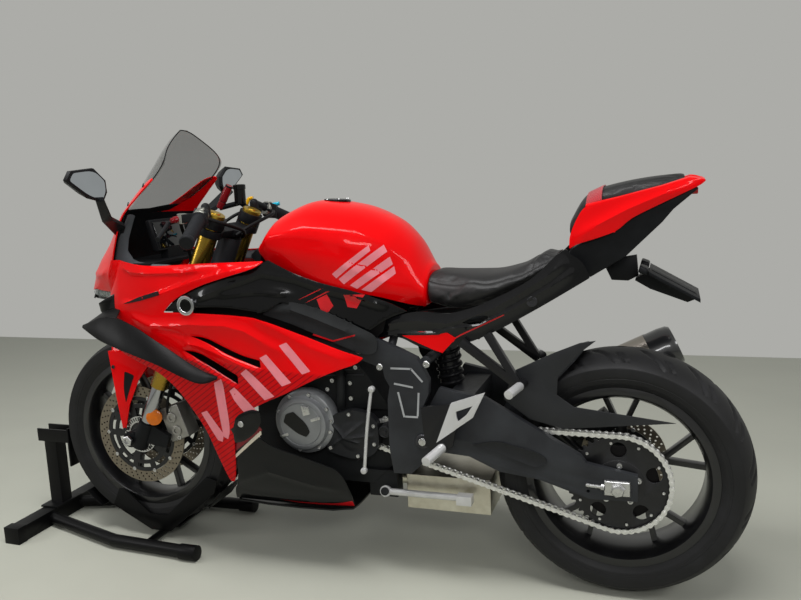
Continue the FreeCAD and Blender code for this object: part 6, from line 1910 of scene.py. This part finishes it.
GLASS = [(442, 1112), (424, 1134), (334, 1141), (290, 1108), (288, 1076), (306, 1052), (362, 1064)]
mirror_glass = plain("mirror_glass", colour(196, 202, 208), 0.04, 0.02, 20, Metallic=1.0)
rounded("mirrors", tray_plastic, 0.004, 26, 3)
for side, hand in ((1, "left"), (-1, "right")):
    loop = soft_loop(GLASS, 9)
    mid_y = sum(y for y, _ in GLASS) / len(GLASS)
    mid_z = sum(z for _, z in GLASS) / len(GLASS)
    loop = [(mid_y + (y - mid_y) * 0.86, mid_z + (z - mid_z) * 0.84) for y, z in loop]
    pane = skin("mirror_glass_" + hand, loop, lambda y, z: (0 * y + 1275.0, side * y, z), mirror_glass,
        "chassis", 1, step=12, thick=1.5, edge=0.5, facing=(-1, 0, 0))

# ---- Paddock stand ----
# Square and round tube, welded, with a bent plate cradle round the tyre, a stop plate on
# the post and wider caps on the legs' ends, all powder coated in one black.

stand_coat = plain("stand_coat", colour(8, 8, 9), 0.42, 0.12, 20, 0.12, 420, Specular_IOR_Level=0.15)
rounded("stand_frame", stand_coat, 0.003, 30, 3)
rounded("stand_cradle", stand_coat, 0.0012, 30, 2)

# ---- Floor and light ----
# A pale workshop floor under a long soft lamp overhead and three weaker ones round it,
# against a plain pale grey that stands for the room's walls.

floor_paint = plain("floor_paint", colour(186, 187, 174), 0.6, 0.02, 3)
floor_mesh = bpy.data.meshes.new("floor")
floor_mesh.from_pydata([(-8, -2.7, 0), (8, -2.7, 0), (8, 9, 0), (-8, 9, 0)], [], [(0, 1, 2, 3)])
floor_mesh.materials.append(floor_paint.material)
floor = bpy.data.objects.new("floor", floor_mesh)
bpy.context.scene.collection.objects.link(floor)

for name, spot, size, depth, watts in (("overhead", (0.2, 0.9, 3.4), 3.6, 0.7, 92),
                                       ("left_side", (-1.8, 3.6, 2.4), 1.6, 0.5, 31),
                                       ("front_side", (3.2, 2.0, 2.0), 1.2, 0.5, 21),
                                       ("rear_side", (-3.3, 0.9, 2.3), 0.9, 0.6, 16)):
    lamp = bpy.data.lights.new(name, "AREA")
    lamp.shape, lamp.size, lamp.size_y, lamp.energy = "RECTANGLE", size, depth, watts
    source = bpy.data.objects.new(name, lamp)
    source.location = spot
    source.rotation_euler = (Vector((0, 0, 0.5)) - Vector(spot)).to_track_quat("-Z", "Y").to_euler()
    bpy.context.scene.collection.objects.link(source)

world = bpy.data.worlds.new("room")
world.use_nodes = True
tree = world.node_tree
soft = tree.nodes["Background"]
soft.inputs["Color"].default_value = (0.86, 0.88, 0.9, 1)
soft.inputs["Strength"].default_value = 0.28
walls = tree.nodes.new("ShaderNodeBackground")
walls.inputs["Color"].default_value = colour(172, 172, 168)
path = Tone(tree).node("ShaderNodeLightPath")
seen = path
for kind in ("Is Glossy Ray", "Is Transmission Ray"):
    seen = seen + Tone(tree, path.socket.node.outputs[kind])
room = tree.nodes.new("ShaderNodeMixShader")
tree.links.new(seen.math("MINIMUM", 1.0).socket, room.inputs[0])
tree.links.new(soft.outputs[0], room.inputs[1])
tree.links.new(walls.outputs[0], room.inputs[2])
tree.links.new(room.outputs[0], tree.nodes["World Output"].inputs["Surface"])
bpy.context.scene.world = world
bpy.context.scene.view_settings.view_transform = "Standard"
